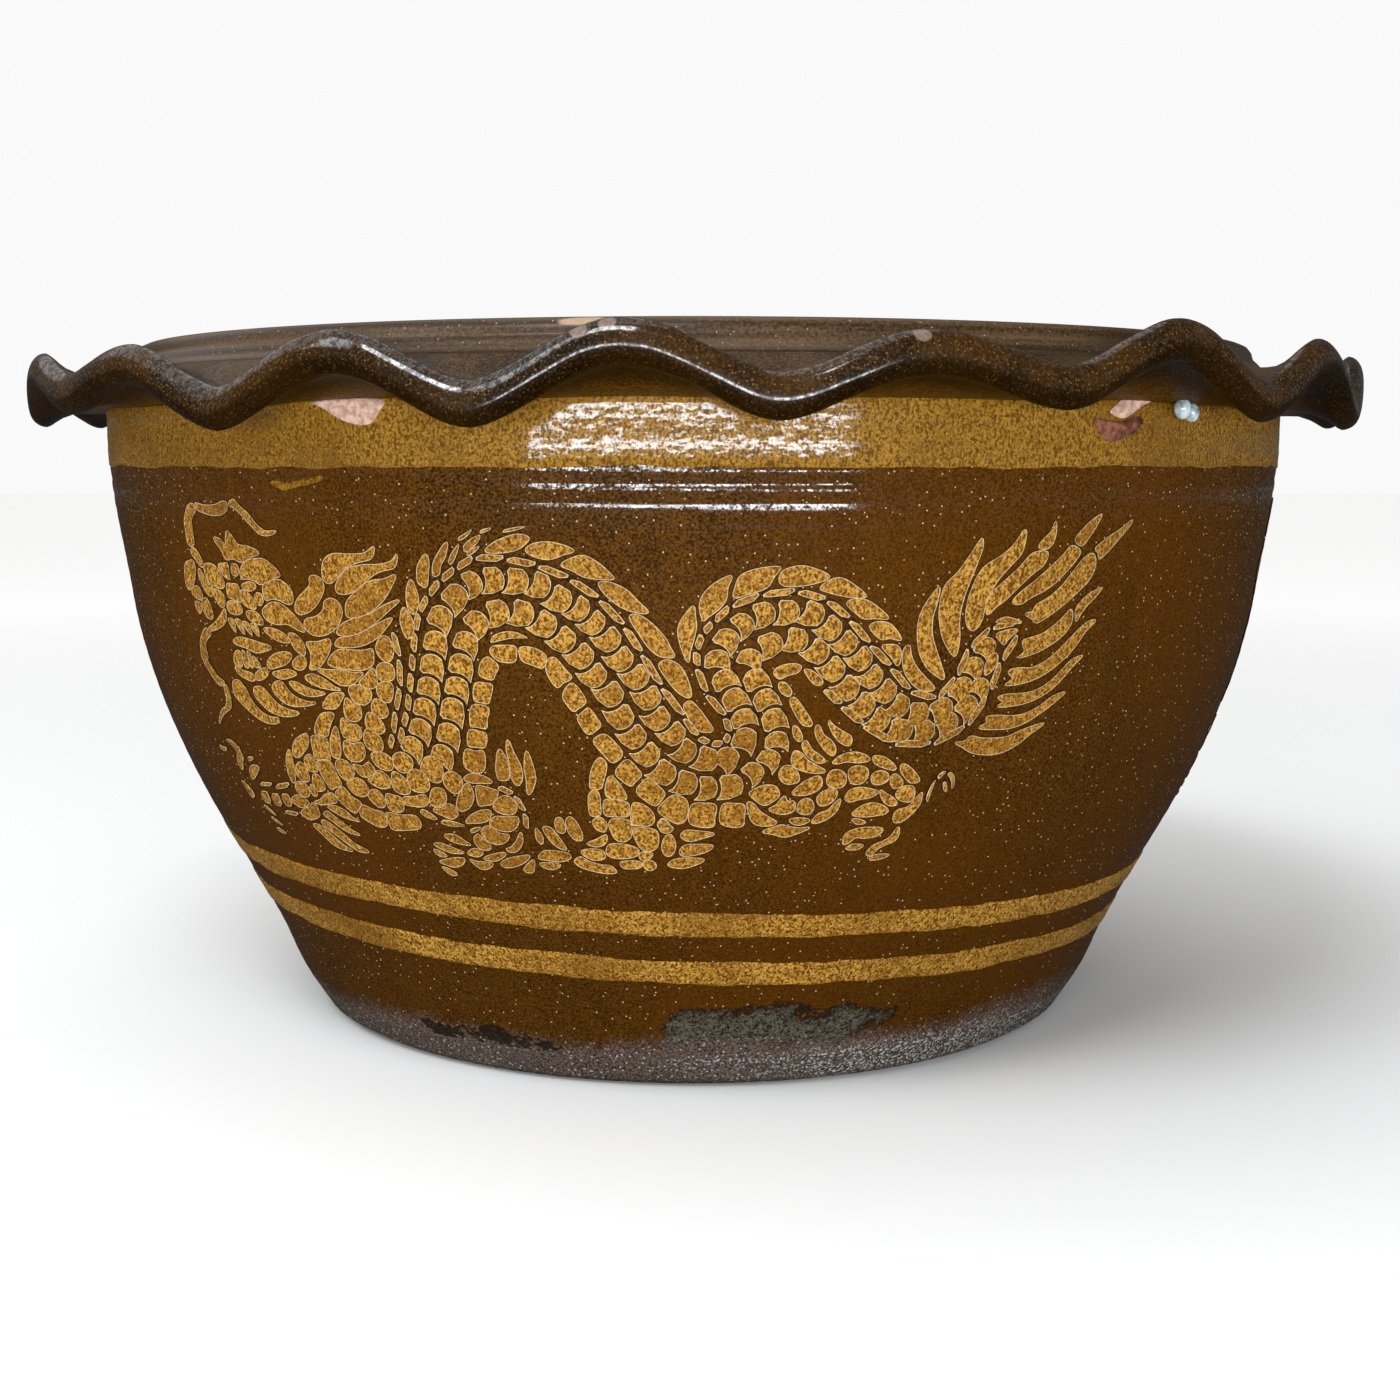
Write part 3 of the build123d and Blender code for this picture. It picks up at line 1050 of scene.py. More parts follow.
# snout, eye, brow and cheek
lay_outlines(
    (-208, 213.6, -205.5, 213.8, -202.5, 211.3, -201, 208.3, -201.6, 207, -203.6, 207.4, -206, 209.8,
     -208.3, 212),
    (-215, 207.5, -212, 208.6, -208.2, 209, -207.6, 206, -209, 202.5, -212, 199, -215, 197.6, -217.2, 199.5,
     -216.8, 203),
    (-205.3, 205.6, -203, 205, -200.6, 201.8, -197.3, 199.6, -196.6, 197, -199, 195.8, -202.6, 198,
     -204.8, 201.5),
    (-200.6, 207, -197, 208.3, -192.6, 207.3, -189.4, 203.6, -188.8, 200.2, -191.6, 199.2, -195.6, 200,
     -199.4, 201.8),
    (-196.5, 198.3, -192, 197.8, -189.6, 195.6, -191, 192, -193.4, 192.4, -195.8, 195),
    (-212.5, 197.5, -209, 199, -206, 197.6, -205.2, 195, -208, 194, -212.4, 195.6),
    (-206.4, 193.2, -203, 194.5, -200, 191.5, -199.8, 187.5, -203.4, 187, -206, 190),
    (-212, 192.4, -208.4, 192.4, -207.4, 190, -209.6, 188.6),
    (-190.5, 218.2, -186.6, 218, -183.6, 216, -182, 221, -178.8, 219, -176, 216.2, -170, 215.5, -165, 213.5,
     -170, 211.8, -175.6, 209.8, -180, 211, -184.6, 210.6, -187, 214),
    (-190.5, 208, -186.5, 208.7, -184.4, 208.6, -184.6, 205.6, -184.4, 203, -188.2, 204.6),
    (-187, 200.6, -183.6, 201, -180, 200.6, -179.2, 197, -180, 194.3, -184, 195.4, -186.8, 196.4),
    (-178.3, 198.8, -175, 198.2, -172.4, 196.4, -170.8, 193.4, -171.8, 192.2, -176.6, 193.2, -178.6, 195.4),
    (-177, 206.6, -173.6, 209.6, -168, 211, -162.6, 211, -158.4, 208.6, -155.4, 205.6, -158, 204.6,
     -161.6, 203.2, -166.6, 201.8, -170, 203.2, -174, 203.6, -176.8, 203.8),
    (-177.5, 200.6, -174, 202, -170.6, 202, -169.6, 200.4, -173.6, 199),
    (-165.4, 200.6, -162.2, 202.6, -156.4, 203.6, -152.6, 202, -150.2, 199, -150.6, 195.6, -153.4, 195,
     -157, 196.2, -161, 196.6, -164.6, 196),
    (-188.4, 193.4, -184, 194.4, -180, 192.6, -179.4, 190.6, -183, 189.6, -187.4, 190.4),
    (-176.5, 190.6, -172.6, 191.2, -169, 189.6, -168, 186.6, -172.4, 186.8, -176, 188.6),
    (-167, 191.6, -162.6, 194.6, -157.6, 194.8, -153, 192.6, -148.6, 189, -146, 185, -149.6, 185.6,
     -154.6, 187.4, -160, 187, -165, 188.2),
    (-149.4, 193.4, -147.6, 196.8, -143.6, 200, -140.8, 202.4, -140.6, 205, -138.4, 205.8, -135.4, 204.6,
     -134.6, 201.6, -136.4, 198, -139.6, 194.6, -143.6, 192.2, -147.6, 191.4),
    (-145.6, 186.6, -144.4, 189.4, -139.6, 190.6, -136, 193, -134.6, 196.4, -131.6, 197.6, -128.4, 196.2,
     -127.4, 192.6, -129.4, 188.4, -133, 185.6, -137, 184, -142, 184),
    (-145.6, 180.6, -140, 181.2, -134.4, 182.4, -135, 178.4, -138, 174.6, -141.6, 171.6, -145.8, 170.8,
     -144.6, 174, -144.2, 177.4),
)
lay_plate((-180.5, 206.6), 0, 5.2, 5.2, 0.5, 0.5)
lay_plate((-168.5, 196), 0, 5.3, 5.3, 0.5, 0.5)

# jaws, teeth and tongue
lay_outlines(
    (-167.6, 184.6, -163, 185, -157, 183.4, -154.4, 180.6, -158.6, 180.4, -163, 181.6),
    (-154.4, 183.2, -150.8, 183.4, -147.4, 180, -147.2, 176.6, -149, 176.2, -152.4, 178.6),
    (-188, 178.8, -184, 180.4, -179, 180.2, -172, 179.2, -165, 177.8, -170, 176, -175, 175.4, -180, 176.8,
     -185, 177.6),
    (-190, 170.5, -188.4, 174, -185, 175, -184.6, 170.4, -187, 168.8),
    (-190, 168.6, -186, 167.4, -180.4, 166.6, -178.4, 165, -181, 163.8, -186, 164.8, -189.4, 166.4),
    (-177.6, 166.6, -173.6, 168.6, -170, 169.2, -170.6, 166.8, -174.6, 164.8, -177.8, 164.6),
    (-169, 170.6, -167.6, 173, -163, 175.4, -157, 176.4, -154.6, 175.2, -158, 172.2, -163.6, 170.4,
     -167.6, 169.6),
    (-167, 167.6, -162.6, 168.8, -157.4, 169.6, -153.6, 168.4, -158, 166.8, -163, 166),
    (-154.4, 172.6, -151, 175, -148, 175, -147.6, 172.6, -150, 170.4, -153.6, 170.6),
    (-189, 187, -185.6, 187, -185.2, 182.6), (-184.4, 187, -181, 186.8, -179.8, 182),
    (-180, 186.4, -176.8, 186.2, -175.4, 182), (-175.4, 186, -171.4, 185.4, -171.4, 181.8),
    (-183.4, 174.6, -181.8, 174.8, -180.8, 169.6, -183.2, 169.4),
    (-180, 174.8, -178.6, 174.6, -177.8, 170, -179.6, 169.6),
    (-177, 173.6, -173.4, 170, -176.6, 169.8),
)

# beard and mane
lay_outlines(
    (-195.6, 160, -193.6, 162.6, -190, 163, -187, 160.4, -184.6, 155.6, -180.6, 151.6, -175, 149.8,
     -170, 149.6, -172.4, 147.6, -179, 147.4, -186, 150, -192, 153.6, -195.6, 157),
    (-181, 160.6, -178, 161.6, -174.6, 161, -171, 157.6, -167, 155, -162, 153.6, -157, 153, -161.6, 151.4,
     -168, 151, -174.6, 152.4, -179, 155.4, -181.4, 158),
    (-169, 162, -166, 164.4, -162.4, 164.2, -159.4, 160.6, -155, 158.4, -150, 157.6, -146.6, 157.6,
     -152, 156.2, -158.6, 155.6, -164, 156.6, -168, 159.4),
    (-158.4, 164.6, -155, 165, -150.6, 163.6, -145.6, 162.4, -140.6, 161.8, -146, 160.4, -151.6, 160.4,
     -156, 162.2),
    (-149, 167.6, -145, 168.6, -140, 167.2, -135.6, 164.6, -132.6, 163.6, -138, 163.6, -143.6, 164.4,
     -148, 166),
    (-143, 156.4, -139.6, 160.4, -136, 162, -131.6, 162.2, -133.4, 159.6, -136.4, 156.6, -140, 156),
    (-134.4, 207.6, -132.6, 212, -128.6, 214, -121.6, 214, -115, 214.6, -111, 217, -112.6, 213,
     -117.6, 211.6, -123.6, 209.4, -127.6, 206, -131, 203.6, -133.8, 204.4),
    (-129, 201.2, -127.6, 204.4, -123, 208.6, -116.6, 210.2, -109.6, 210.6, -104.6, 211.8, -102, 214.4,
     -103.4, 210, -108.6, 208.6, -113, 206.6, -118, 202.8, -123, 200.2, -127.4, 199.8),
    (-125.4, 192.6, -124.6, 196.6, -120, 200.8, -114, 204.4, -108, 205.4, -103.3, 206.9, -106.4, 201.4,
     -110, 197, -115, 193.6, -120, 191.6, -124, 191.2),
    (-130.4, 185, -127.6, 188.4, -122, 190.6, -115, 192.6, -108.6, 196, -102.6, 198, -107.6, 194,
     -113.6, 189.4, -120, 185.8, -126, 184.4),
    (-131.8, 180.4, -129.6, 183, -123.6, 184.2, -117, 186.6, -111.4, 189.4, -106, 191.4, -109.6, 187.2,
     -113.6, 183.8, -120, 181, -127, 180),
    (-136.4, 173.4, -134, 176.6, -130, 178.8, -124, 178.8, -119, 179, -115.6, 179.6, -115.4, 176,
     -117, 173.4, -121.6, 171.8, -128, 171.8, -133, 172.2),
    (-142.4, 170.8, -138, 170.8, -131, 171, -125, 170.4, -121, 170.6, -123.6, 168.2, -127, 166, -132, 165.6,
     -136, 167.4),
    (-123.2, 166.6, -120, 169.4, -117.2, 172, -115.6, 172, -115.2, 168.6, -116, 166, -119.6, 165),
)

# neck and breast
lay_outlines(
    (-112.4, 183, -110.6, 184.6, -108, 184, -106.6, 180.6, -107.4, 177, -110, 175.4, -113, 178,
     -113.6, 180.6),
    (-114.4, 172.6, -112, 174.6, -107.8, 174, -107.6, 169.6, -111, 168.2, -114, 169),
    (-115.6, 165.4, -112.6, 167.6, -109, 167, -109.4, 162.6, -111.6, 160.2, -114.6, 161.2),
    (-128.6, 163.2, -127, 165.4, -122, 165.6, -118.6, 163.6, -120, 160.2, -123.4, 158.6, -127.2, 159.8),
    (-119.4, 157.6, -117.4, 160.8, -113.6, 159.6, -112.6, 156, -115.4, 154, -118.6, 154.8),
    (-132.6, 156, -130.8, 160.4, -127.6, 158.6, -125, 157.6, -125.4, 153.6, -129, 151.8, -132.4, 152.8),
    (-123.6, 152, -121, 155.6, -116.8, 153, -115.4, 149.6, -118, 147.8, -122.4, 148.6),
    (-136.2, 149, -134.6, 152.4, -131, 150.4, -127.6, 150, -126.8, 147, -129.4, 144.4, -133.6, 144.2,
     -136, 145.8),
    (-126, 145.6, -123.6, 149, -119.4, 147.2, -117.8, 144.4, -119, 141, -123.2, 140.8, -125.6, 142.4),
    (-137.6, 139.6, -136, 143.4, -132, 142.6, -127.6, 143.2, -127.6, 139, -130.4, 136.2, -134.4, 135.8,
     -136.8, 137),
    (-144.6, 138, -143.4, 143, -140.6, 147.4, -138.6, 148.6, -138.6, 144, -139.4, 140, -141, 136.8,
     -143.6, 136.4),
    (-124.4, 138.8, -121, 140, -117, 139.4, -115, 137, -116, 134, -119.6, 133.4, -123, 135),
    (-114.6, 136.8, -113.4, 139.6, -109.6, 140.8, -106.2, 138.8, -106.4, 135.6, -109.6, 133.2, -113, 133.6),
    (-144.2, 133.2, -141.6, 135.6, -137.6, 135, -135.6, 131.6, -137.6, 128.4, -141, 127.6, -143.6, 129.6),
    (-135, 134, -130, 133.8, -126.6, 135.6, -124.6, 132.8, -127.6, 130.4, -132, 130),
    (-129, 128.4, -126.4, 129.6, -123.6, 132.4, -120.6, 132, -118.4, 129.4, -120, 126.4, -124.6, 125.8),
    (-141, 125.8, -138.6, 127.4, -134.4, 128.6, -131.4, 127, -130.8, 123.6, -134, 121.6, -137.6, 121.8,
     -140, 123.4),
    (-131.4, 121.4, -129.6, 124, -126, 124.4, -123.8, 121.4, -124.6, 118.4, -128, 117.8),
    (-122.8, 119.4, -122, 123.2, -118.6, 123, -115.2, 122.2, -115.4, 118, -118.6, 116.4, -122, 117),
    (-117.6, 128, -116, 132.6, -112.6, 131.6, -110, 128.6, -110.4, 125, -114, 124.2, -117, 125.4),
    (-109, 126.6, -109.6, 131, -107, 134, -103.4, 134, -100.6, 131, -101, 127.4, -104.6, 125.6),
    (-114, 120.2, -113.6, 122.6, -108, 123.4, -104, 124.4, -102.6, 121.8, -105.6, 119.8, -110, 119.6),
    (-101.6, 121, -100.6, 125.2, -98.4, 127.4, -94.6, 127, -94.4, 123, -97.6, 120.2),
    (-102.4, 134.6, -100.4, 138.8, -97, 140, -93.6, 138, -93.4, 134, -95.4, 130.4, -99, 130.6),
    (-93.6, 131, -92, 133.8, -88.6, 134.4, -86, 132, -86.4, 128.4, -89.6, 126.2, -92.6, 128),
    (-101, 118.6, -96, 121, -91.8, 121, -90.6, 117.6, -94, 115.6, -98, 117),
    (-150.8, 145.4, -148.6, 149.6, -144.6, 153.4, -138.6, 154, -141, 150.4, -143.2, 147, -144.6, 145,
     -148, 145),
    (-154.6, 138, -153.4, 143.6, -149.4, 143.8, -145.4, 143.4, -145.8, 138.6, -146.6, 135.2, -150, 135.2,
     -154.4, 134.8),
    (-154.4, 132, -153.6, 133.8, -146.6, 134, -145.6, 130, -144.4, 125.4, -148.6, 123.8, -151.4, 123,
     -153.8, 127.6),
    (-149.6, 120.6, -145.6, 123.6, -143.4, 123.8, -140.6, 120.6, -136.8, 118.4, -139.6, 115.6, -142, 114,
     -146.4, 116.4),
    (-139, 113.4, -136.4, 117.4, -131, 116, -126.2, 115, -126.4, 110.6, -130.6, 109.2, -136, 111),
    (-124.8, 112, -124.4, 115.4, -117, 115, -111, 115.4, -109, 113, -110.4, 110.4, -117, 109.2,
     -124, 108.8),
)
lay_leaves((-108, 118, -100, 114.6, 3), (-99.5, 114, -88, 113, 2.5), (-87, 110.5, -81, 113, 2))

# fore leg in front, its foot and the fins behind it
lay_strip(2.0, (-201, 119.5), (-190, 120.5))
lay_strip(2.4, (-189, 119.5), (-177, 122))
lay_strip(2.2, (-190, 109), (-179, 109))
for place in ((-200.4, 113.8), (-192, 113.8), (-184, 114.6)):
    lay_plate(place, 185, 6.6, 5.6)
lay_leaves(
    (-208, 128, -206, 136, -217, 136.5, 3.6), (-213, 124, -206, 135, 4.4),
    (-207, 121, -200, 127, -195, 127, 4.4), (-203, 129.5, -197, 131, 2),
    (-226, 133, -222, 131, -218, 133, 2.4), (-211, 112, -217, 119.5, 5), (-206, 110, -198, 106, 2.0),
    (-204, 105, -196, 102, 2.0), (-204, 100, -196, 98.5, 2.0),
)
lay_outlines(
    (-167.6, 135.6, -165, 140, -160.6, 143, -155.6, 144.6, -156.6, 140.6, -160, 137.6, -164.6, 134.6),
    (-162, 130.6, -161, 134.4, -157, 136.2, -155.4, 133.4, -155.8, 130, -159, 129.4),
    (-169.6, 127.4, -167.6, 131, -164, 132.2, -162, 129, -163, 125.4, -167, 124.6),
    (-161, 124.6, -158.6, 128, -155.6, 127.4, -154.6, 123.4, -157, 121.6, -160.4, 121.6),
    (-175, 127, -173.6, 132, -170, 136.6, -168.8, 136, -169.6, 131.6, -171, 126.6, -173, 123.6,
     -174.8, 123.6),
    (-173.6, 121, -171, 123.6, -166.6, 123.6, -165.2, 121, -167.4, 118.2, -171.4, 118),
    (-164.6, 120.4, -162.6, 123.4, -160.4, 120.6, -162.6, 118.8),
    (-164.6, 115.8, -160, 117.4, -155.6, 120, -151, 120.8, -150.4, 117.8, -155, 116.4, -160, 115.6),
    (-157, 114.6, -152, 115.4, -147, 114, -144, 111.6, -141, 110.4, -146, 110.8, -151, 112),
    (-161.4, 111, -158, 112.6, -154.6, 110.6, -150, 107.6, -147, 105.8, -143.6, 104.4, -149, 104.8,
     -154, 106.6, -158, 109),
    (-165, 106.8, -163, 108.4, -159, 107, -153, 103.4, -149, 100, -142, 97.4, -148, 97, -154, 99.8,
     -160, 103.4),
    (-171.4, 105.2, -168.6, 106, -164.6, 104.6, -160, 101, -156.6, 98.8, -152, 96.6, -158.6, 96.8,
     -164, 98.8, -168, 102),
    (-177, 109.6, -172.6, 112.2, -168.6, 113.4, -166.4, 115.2, -164, 114.4, -164.4, 110.8, -168, 108.8,
     -173, 107.8),
    (-180, 115, -175, 117.6, -171, 117, -168.6, 115.2, -172, 113.4, -176, 112.8),
)

# double line along the back, from the neck over both arches to the tail
lay_strip(2.7, (-106, 187), (-104.3, 177), (-105.5, 166), (-109, 157), (-112, 148), (-115, 142))
lay_strip(
    2.8, (-110, 144), (-107, 151), (-104, 157), (-102, 164), (-100, 172), (-98.5, 179), (-97, 187),
    (-95, 194), (-91, 200), (-86, 205.5), (-80, 210), (-73, 214), (-62, 213.7), (-51, 211.5), (-40, 207),
    (-30, 200), (-21.5, 190.5), (-15.5, 181), (-8.5, 169), (-0.5, 158), (4.5, 150.5), (9, 148), (14, 148),
    (15.8, 152), (14, 158), (7, 166.5), (3.5, 176), (3, 182), (5, 188), (8.5, 192), (14, 197.5),
    (24, 201.5), (36, 202.7), (46.5, 199.5), (55, 192.5), (63, 183.5), (71.5, 175), (80, 166), (91, 162.5),
    (97.5, 170.5), (101, 181), (109, 188), (121, 190),
)
lay_strip(3.0, (48, 168), (55, 161.5), (64, 154), (77, 146.5), (92.5, 145.5), (105.5, 151.5), (112, 163))
lay_strip(3.0, (112.5, 164.5), (115, 175.5), (121, 185))

# back fins of both arches
lay_outlines(
    (-102, 188, -102.4, 191.6, -101, 195.4, -99, 193, -97.4, 189.4, -98.6, 185.4, -100.4, 184.6),
    (-99.4, 198, -99, 202.4, -97.2, 205.4, -95.6, 202, -95, 197.4, -96.6, 193.6, -98.6, 194.4),
    (-94.6, 206, -94, 210.6, -91, 214.6, -90, 212, -90.6, 207.6, -91.4, 203.4, -93.6, 204),
    (-88.4, 207.4, -88, 211.6, -85.6, 215.6, -82.6, 219, -83.6, 214.4, -85.6, 211, -86.4, 208),
    (-68.6, 216.2, -66.4, 218.6, -62, 220.8, -57, 222, -53.6, 220.8, -56.4, 217.8, -60, 216.4, -65, 215.8),
    (-54.6, 216.6, -52, 218.8, -47, 219.4, -42, 218.4, -38.6, 216.6, -42, 215.4, -46.6, 213.8, -51, 214.4),
    (-42.6, 211.6, -39.4, 213.8, -35, 214.8, -30, 212, -26.4, 208.6, -25.4, 207, -30, 207, -35, 207.8,
     -39, 210),
    (-30, 205.4, -26, 205.4, -21, 203, -17, 199, -13.6, 195.4, -18, 195.6, -23, 197.6, -27.6, 201.4),
    (-19.6, 193.6, -16.6, 194.2, -12, 191, -8, 186.6, -6, 183, -4.6, 179.8, -9, 180, -12.6, 182.6,
     -16, 187.4),
    (-9.4, 176.6, -6.6, 178.4, -2.6, 176.4, 0, 172, 1.6, 166.8, 0.8, 165.2, -2.6, 167, -6, 171),
    (-0.6, 162, 1.6, 163.6, 4.6, 160.6, 8, 156, 9.6, 153, 6.6, 152.6, 3.4, 154, 1, 158),
    (-3.2, 188, -2.6, 191.6, -0.6, 195, 1.6, 197.4, 2.2, 193.4, 2.6, 190.6, 2, 186.6, 0.8, 181.6, 0.4, 178,
     -1.6, 182),
    (3.8, 197, 4.6, 201, 8, 205, 13.6, 208, 12.6, 204, 12.2, 200, 10, 196.6, 6.4, 193.8, 5, 192.8),
    (15.2, 200.6, 15.4, 204, 17, 208, 22, 210.2, 29.6, 211, 28, 208, 25.6, 204, 20, 202),
    (30, 206.4, 31, 209.6, 36, 211.2, 41, 210.4, 46.6, 207.6, 42.6, 205.6, 37, 204.6, 32, 204.6),
    (44, 203.6, 47, 206.2, 51, 206.8, 56, 204, 60, 200.4, 55, 200.4, 50, 201.4, 46.4, 202.4),
    (53.6, 198, 56, 199.4, 60.6, 198.8, 65, 196, 68.6, 192.6, 64, 192.8, 60, 192.8, 57, 194.8),
    (62.4, 189.6, 65, 191.2, 69, 190.6, 72, 188, 74, 184.8, 70, 185.6, 66.6, 185.4),
    (67.6, 182.4, 70, 183, 73, 182.4, 74.6, 179.6, 74, 175.6, 71.4, 178.6),
)
lay_leaves(
    (-82.5, 211, -78, 219, 2.2), (-77, 216, -70, 222, 3.2), (-79, 220, -76, 221, -73, 224, 1.6),
    (-76, 214.6, -70.5, 218, 1.8), (-71, 222.6, -66, 224.4, 1.4), (-63, 223, -54, 225, 1.4),
)

# scales of the body, two rows over the first arch
lay_scales(
    4.9, (-103.8, 143.8), (-99, 151), (-96, 159), (-93.3, 167), (-91, 175.5), (-88.8, 184), (-86, 193),
    (-79.6, 200.5), (-74, 204.6), (-66, 206), (-57.5, 205.5), (-50, 204), (-43, 199), (-37, 196),
    (-32, 191), (-26.7, 185), (-22.5, 178), (-17, 171.5), (-13, 164), (-9.6, 156.5), (-4, 151),
    (0.4, 144.6), (8.8, 141.6),
)
lay_scales(
    4.95, (-91.5, 141.5), (-87.5, 150), (-84.6, 159.6), (-82, 167.5), (-79.6, 176), (-77, 184),
    (-72.5, 191), (-64.6, 194.5), (-56, 194), (-48.3, 190), (-42, 184.6), (-36, 178.8), (-31.7, 172),
    (-26, 165), (-22.5, 156.7), (-18, 149.6), (-13, 143), (-6.7, 136), (1.5, 132.5), (9, 130.8),
    (18.5, 131.6),
)
lay_leaves((-69, 184, -62, 188.6, -54.5, 185.5, 3))
lay_outlines(
    (-83.4, 137.6, -82, 143.4, -78, 143, -75, 143.2, -75, 139, -76.4, 135.6, -80, 135),
    (-80.6, 145.6, -79.4, 151, -75, 150.6, -73, 149.6, -74.2, 145.2, -77.6, 145),
    (-78.6, 153.4, -77, 160.4, -71.2, 159.8, -72.2, 155.4, -72.8, 152.4, -76.4, 152.8),
    (-76, 163, -75.2, 168.6, -71, 168.8, -69, 168.2, -69.8, 164.6, -71, 161.8, -73.6, 162),
    (-73, 172, -72.4, 176, -70, 178.4, -67.6, 177, -66.2, 175.2, -67.6, 172.4, -68.8, 170.6),
    (-68.6, 180.6, -67.4, 182.4, -63, 182.8, -59.6, 182.4, -59.4, 179.4, -60.4, 177.2, -64.6, 177.2,
     -67, 178.4),
    (-57.8, 182, -53.6, 182.2, -50, 180.6, -48.6, 178.6, -50, 175.4, -53.6, 176.4, -57.2, 178),
    (-48.6, 175, -47.6, 178.2, -45.4, 178.6, -42, 174.6, -40, 171.8, -43, 170, -45, 168.4, -47.4, 171.4),
    (-43, 165, -41.6, 168.2, -39.4, 169.6, -36.6, 166.4, -35.2, 163.2, -37.6, 161, -39.6, 159.8,
     -41.6, 162),
    (-38, 157, -36, 159.4, -34, 160.6, -31.4, 157, -30.2, 154.6, -32.6, 152.2, -34.6, 151.4, -36.4, 153.4),
    (-32.6, 148.4, -30.6, 150.6, -28, 150.8, -24.6, 147.4, -22.6, 144.2, -24.4, 141.6, -26.6, 141,
     -29.4, 144),
    (-25, 136.6, -23, 140, -20.4, 141.6, -17.4, 138.6, -15.8, 136.2, -18, 133.6, -19.6, 132, -22.4, 133.6),
    (-17.4, 129.6, -15.4, 133, -12.8, 134.6, -9.4, 131.6, -7.2, 129, -8.6, 126.2, -10.6, 124.4, -14, 126.2),
    (-9.4, 122.4, -6.6, 126.2, -3.4, 128.2, 0.4, 126.8, 1.6, 123.6, 0.8, 118.8, -2, 117.2, -5.6, 119),
    (2.4, 118, 3.2, 124.4, 8, 125, 12, 124.2, 11.8, 119.4, 11.4, 116.2, 6.6, 116),
    (14.2, 118, 14.8, 124.4, 19, 124.8, 22.8, 124, 23, 119, 22.6, 116.2, 18, 116),
)
lay_leaves((-10, 118, -4.5, 115.5, 4.6))

# leg under the neck with its fins and claws
lay_strip(2.6, (-71.5, 130), (-65, 127), (-61.5, 120), (-62, 113))
lay_outlines(
    (-80.2, 128.4, -78.6, 129.6, -73, 128.4, -71.6, 127.4, -74.4, 123.2, -78, 122.2, -80.4, 122.4),
    (-74.2, 121.6, -72, 124.8, -68, 126.2, -65.2, 124, -65, 121, -67.6, 119, -72, 119.4),
    (-90, 120.4, -88.6, 124.6, -85, 129.4, -83, 130, -82, 126, -84, 121.6, -88, 119.2),
    (-84.6, 132.2, -81, 134.2, -76, 133.4, -73.4, 131.4, -78, 131, -82, 131),
    (-87.4, 114.6, -84.6, 117.4, -80, 119.6, -76, 119.8, -77.4, 116.4, -81, 115, -85, 114.6),
    (-77, 114.4, -74.6, 117.4, -69, 117.6, -65, 117.8, -65.6, 114.6, -69, 112.2, -73.6, 112.4),
    (-81.4, 111.4, -78.6, 113.4, -76.6, 113, -74, 110.8, -70, 110.2, -72, 107.6, -76, 106.4, -80, 108),
    (-85.4, 107.6, -83.4, 109.8, -81.4, 108, -79, 105.6, -80, 103.8, -84, 104.2),
    (-72, 104.4, -69.6, 105.4, -67, 108, -64.6, 111.6, -64.6, 108, -67, 104.6, -70, 103.4),
    (-98.6, 108.4, -94, 108.8, -89.6, 106.4, -88, 105.2, -92, 105.4, -96.4, 106.4),
    (-105, 104.2, -101, 104.6, -96, 103, -92, 101.6, -97, 101.2, -102, 102.4),
    (-106, 101.6, -103, 101.2, -100.6, 99.6, -104, 99.4), (-104.4, 94.4, -101, 93.8, -98, 92, -101, 91.6),
    (-104.6, 96.8, -101, 98, -96, 99, -92.4, 99, -94, 96.6, -98, 95.2, -102, 95.8),
    (-90, 101.4, -86.6, 103.6, -83, 102.6, -85.6, 100.6),
    (-83, 99.8, -79, 101.6, -73, 102.8, -75, 100.6, -79, 99.2),
    (-89.6, 98.8, -87, 98.2, -83.6, 98.2, -79.6, 97.8, -82.6, 95.6, -86, 95.6),
    (-75.6, 98.2, -72, 100.4, -66, 101.8, -62.6, 102.2, -65, 99.6, -70, 97.4, -74, 96.8),
    (-66, 96, -63.6, 98.8, -61, 100.4, -61.6, 97, -63, 95.2),
    (-70.6, 134, -70.4, 138.6, -68.6, 144.2, -66.4, 141, -65.8, 136, -66.6, 133, -69.6, 132.6),
    (-64.8, 148, -63, 143, -61, 138, -61, 133.4, -63, 130.8, -65, 133.6, -65, 139, -65.6, 144),
    (-59.2, 133, -59.4, 138, -58, 144, -56.4, 139, -55.8, 133.6, -57.6, 129, -59.4, 127.6),
)

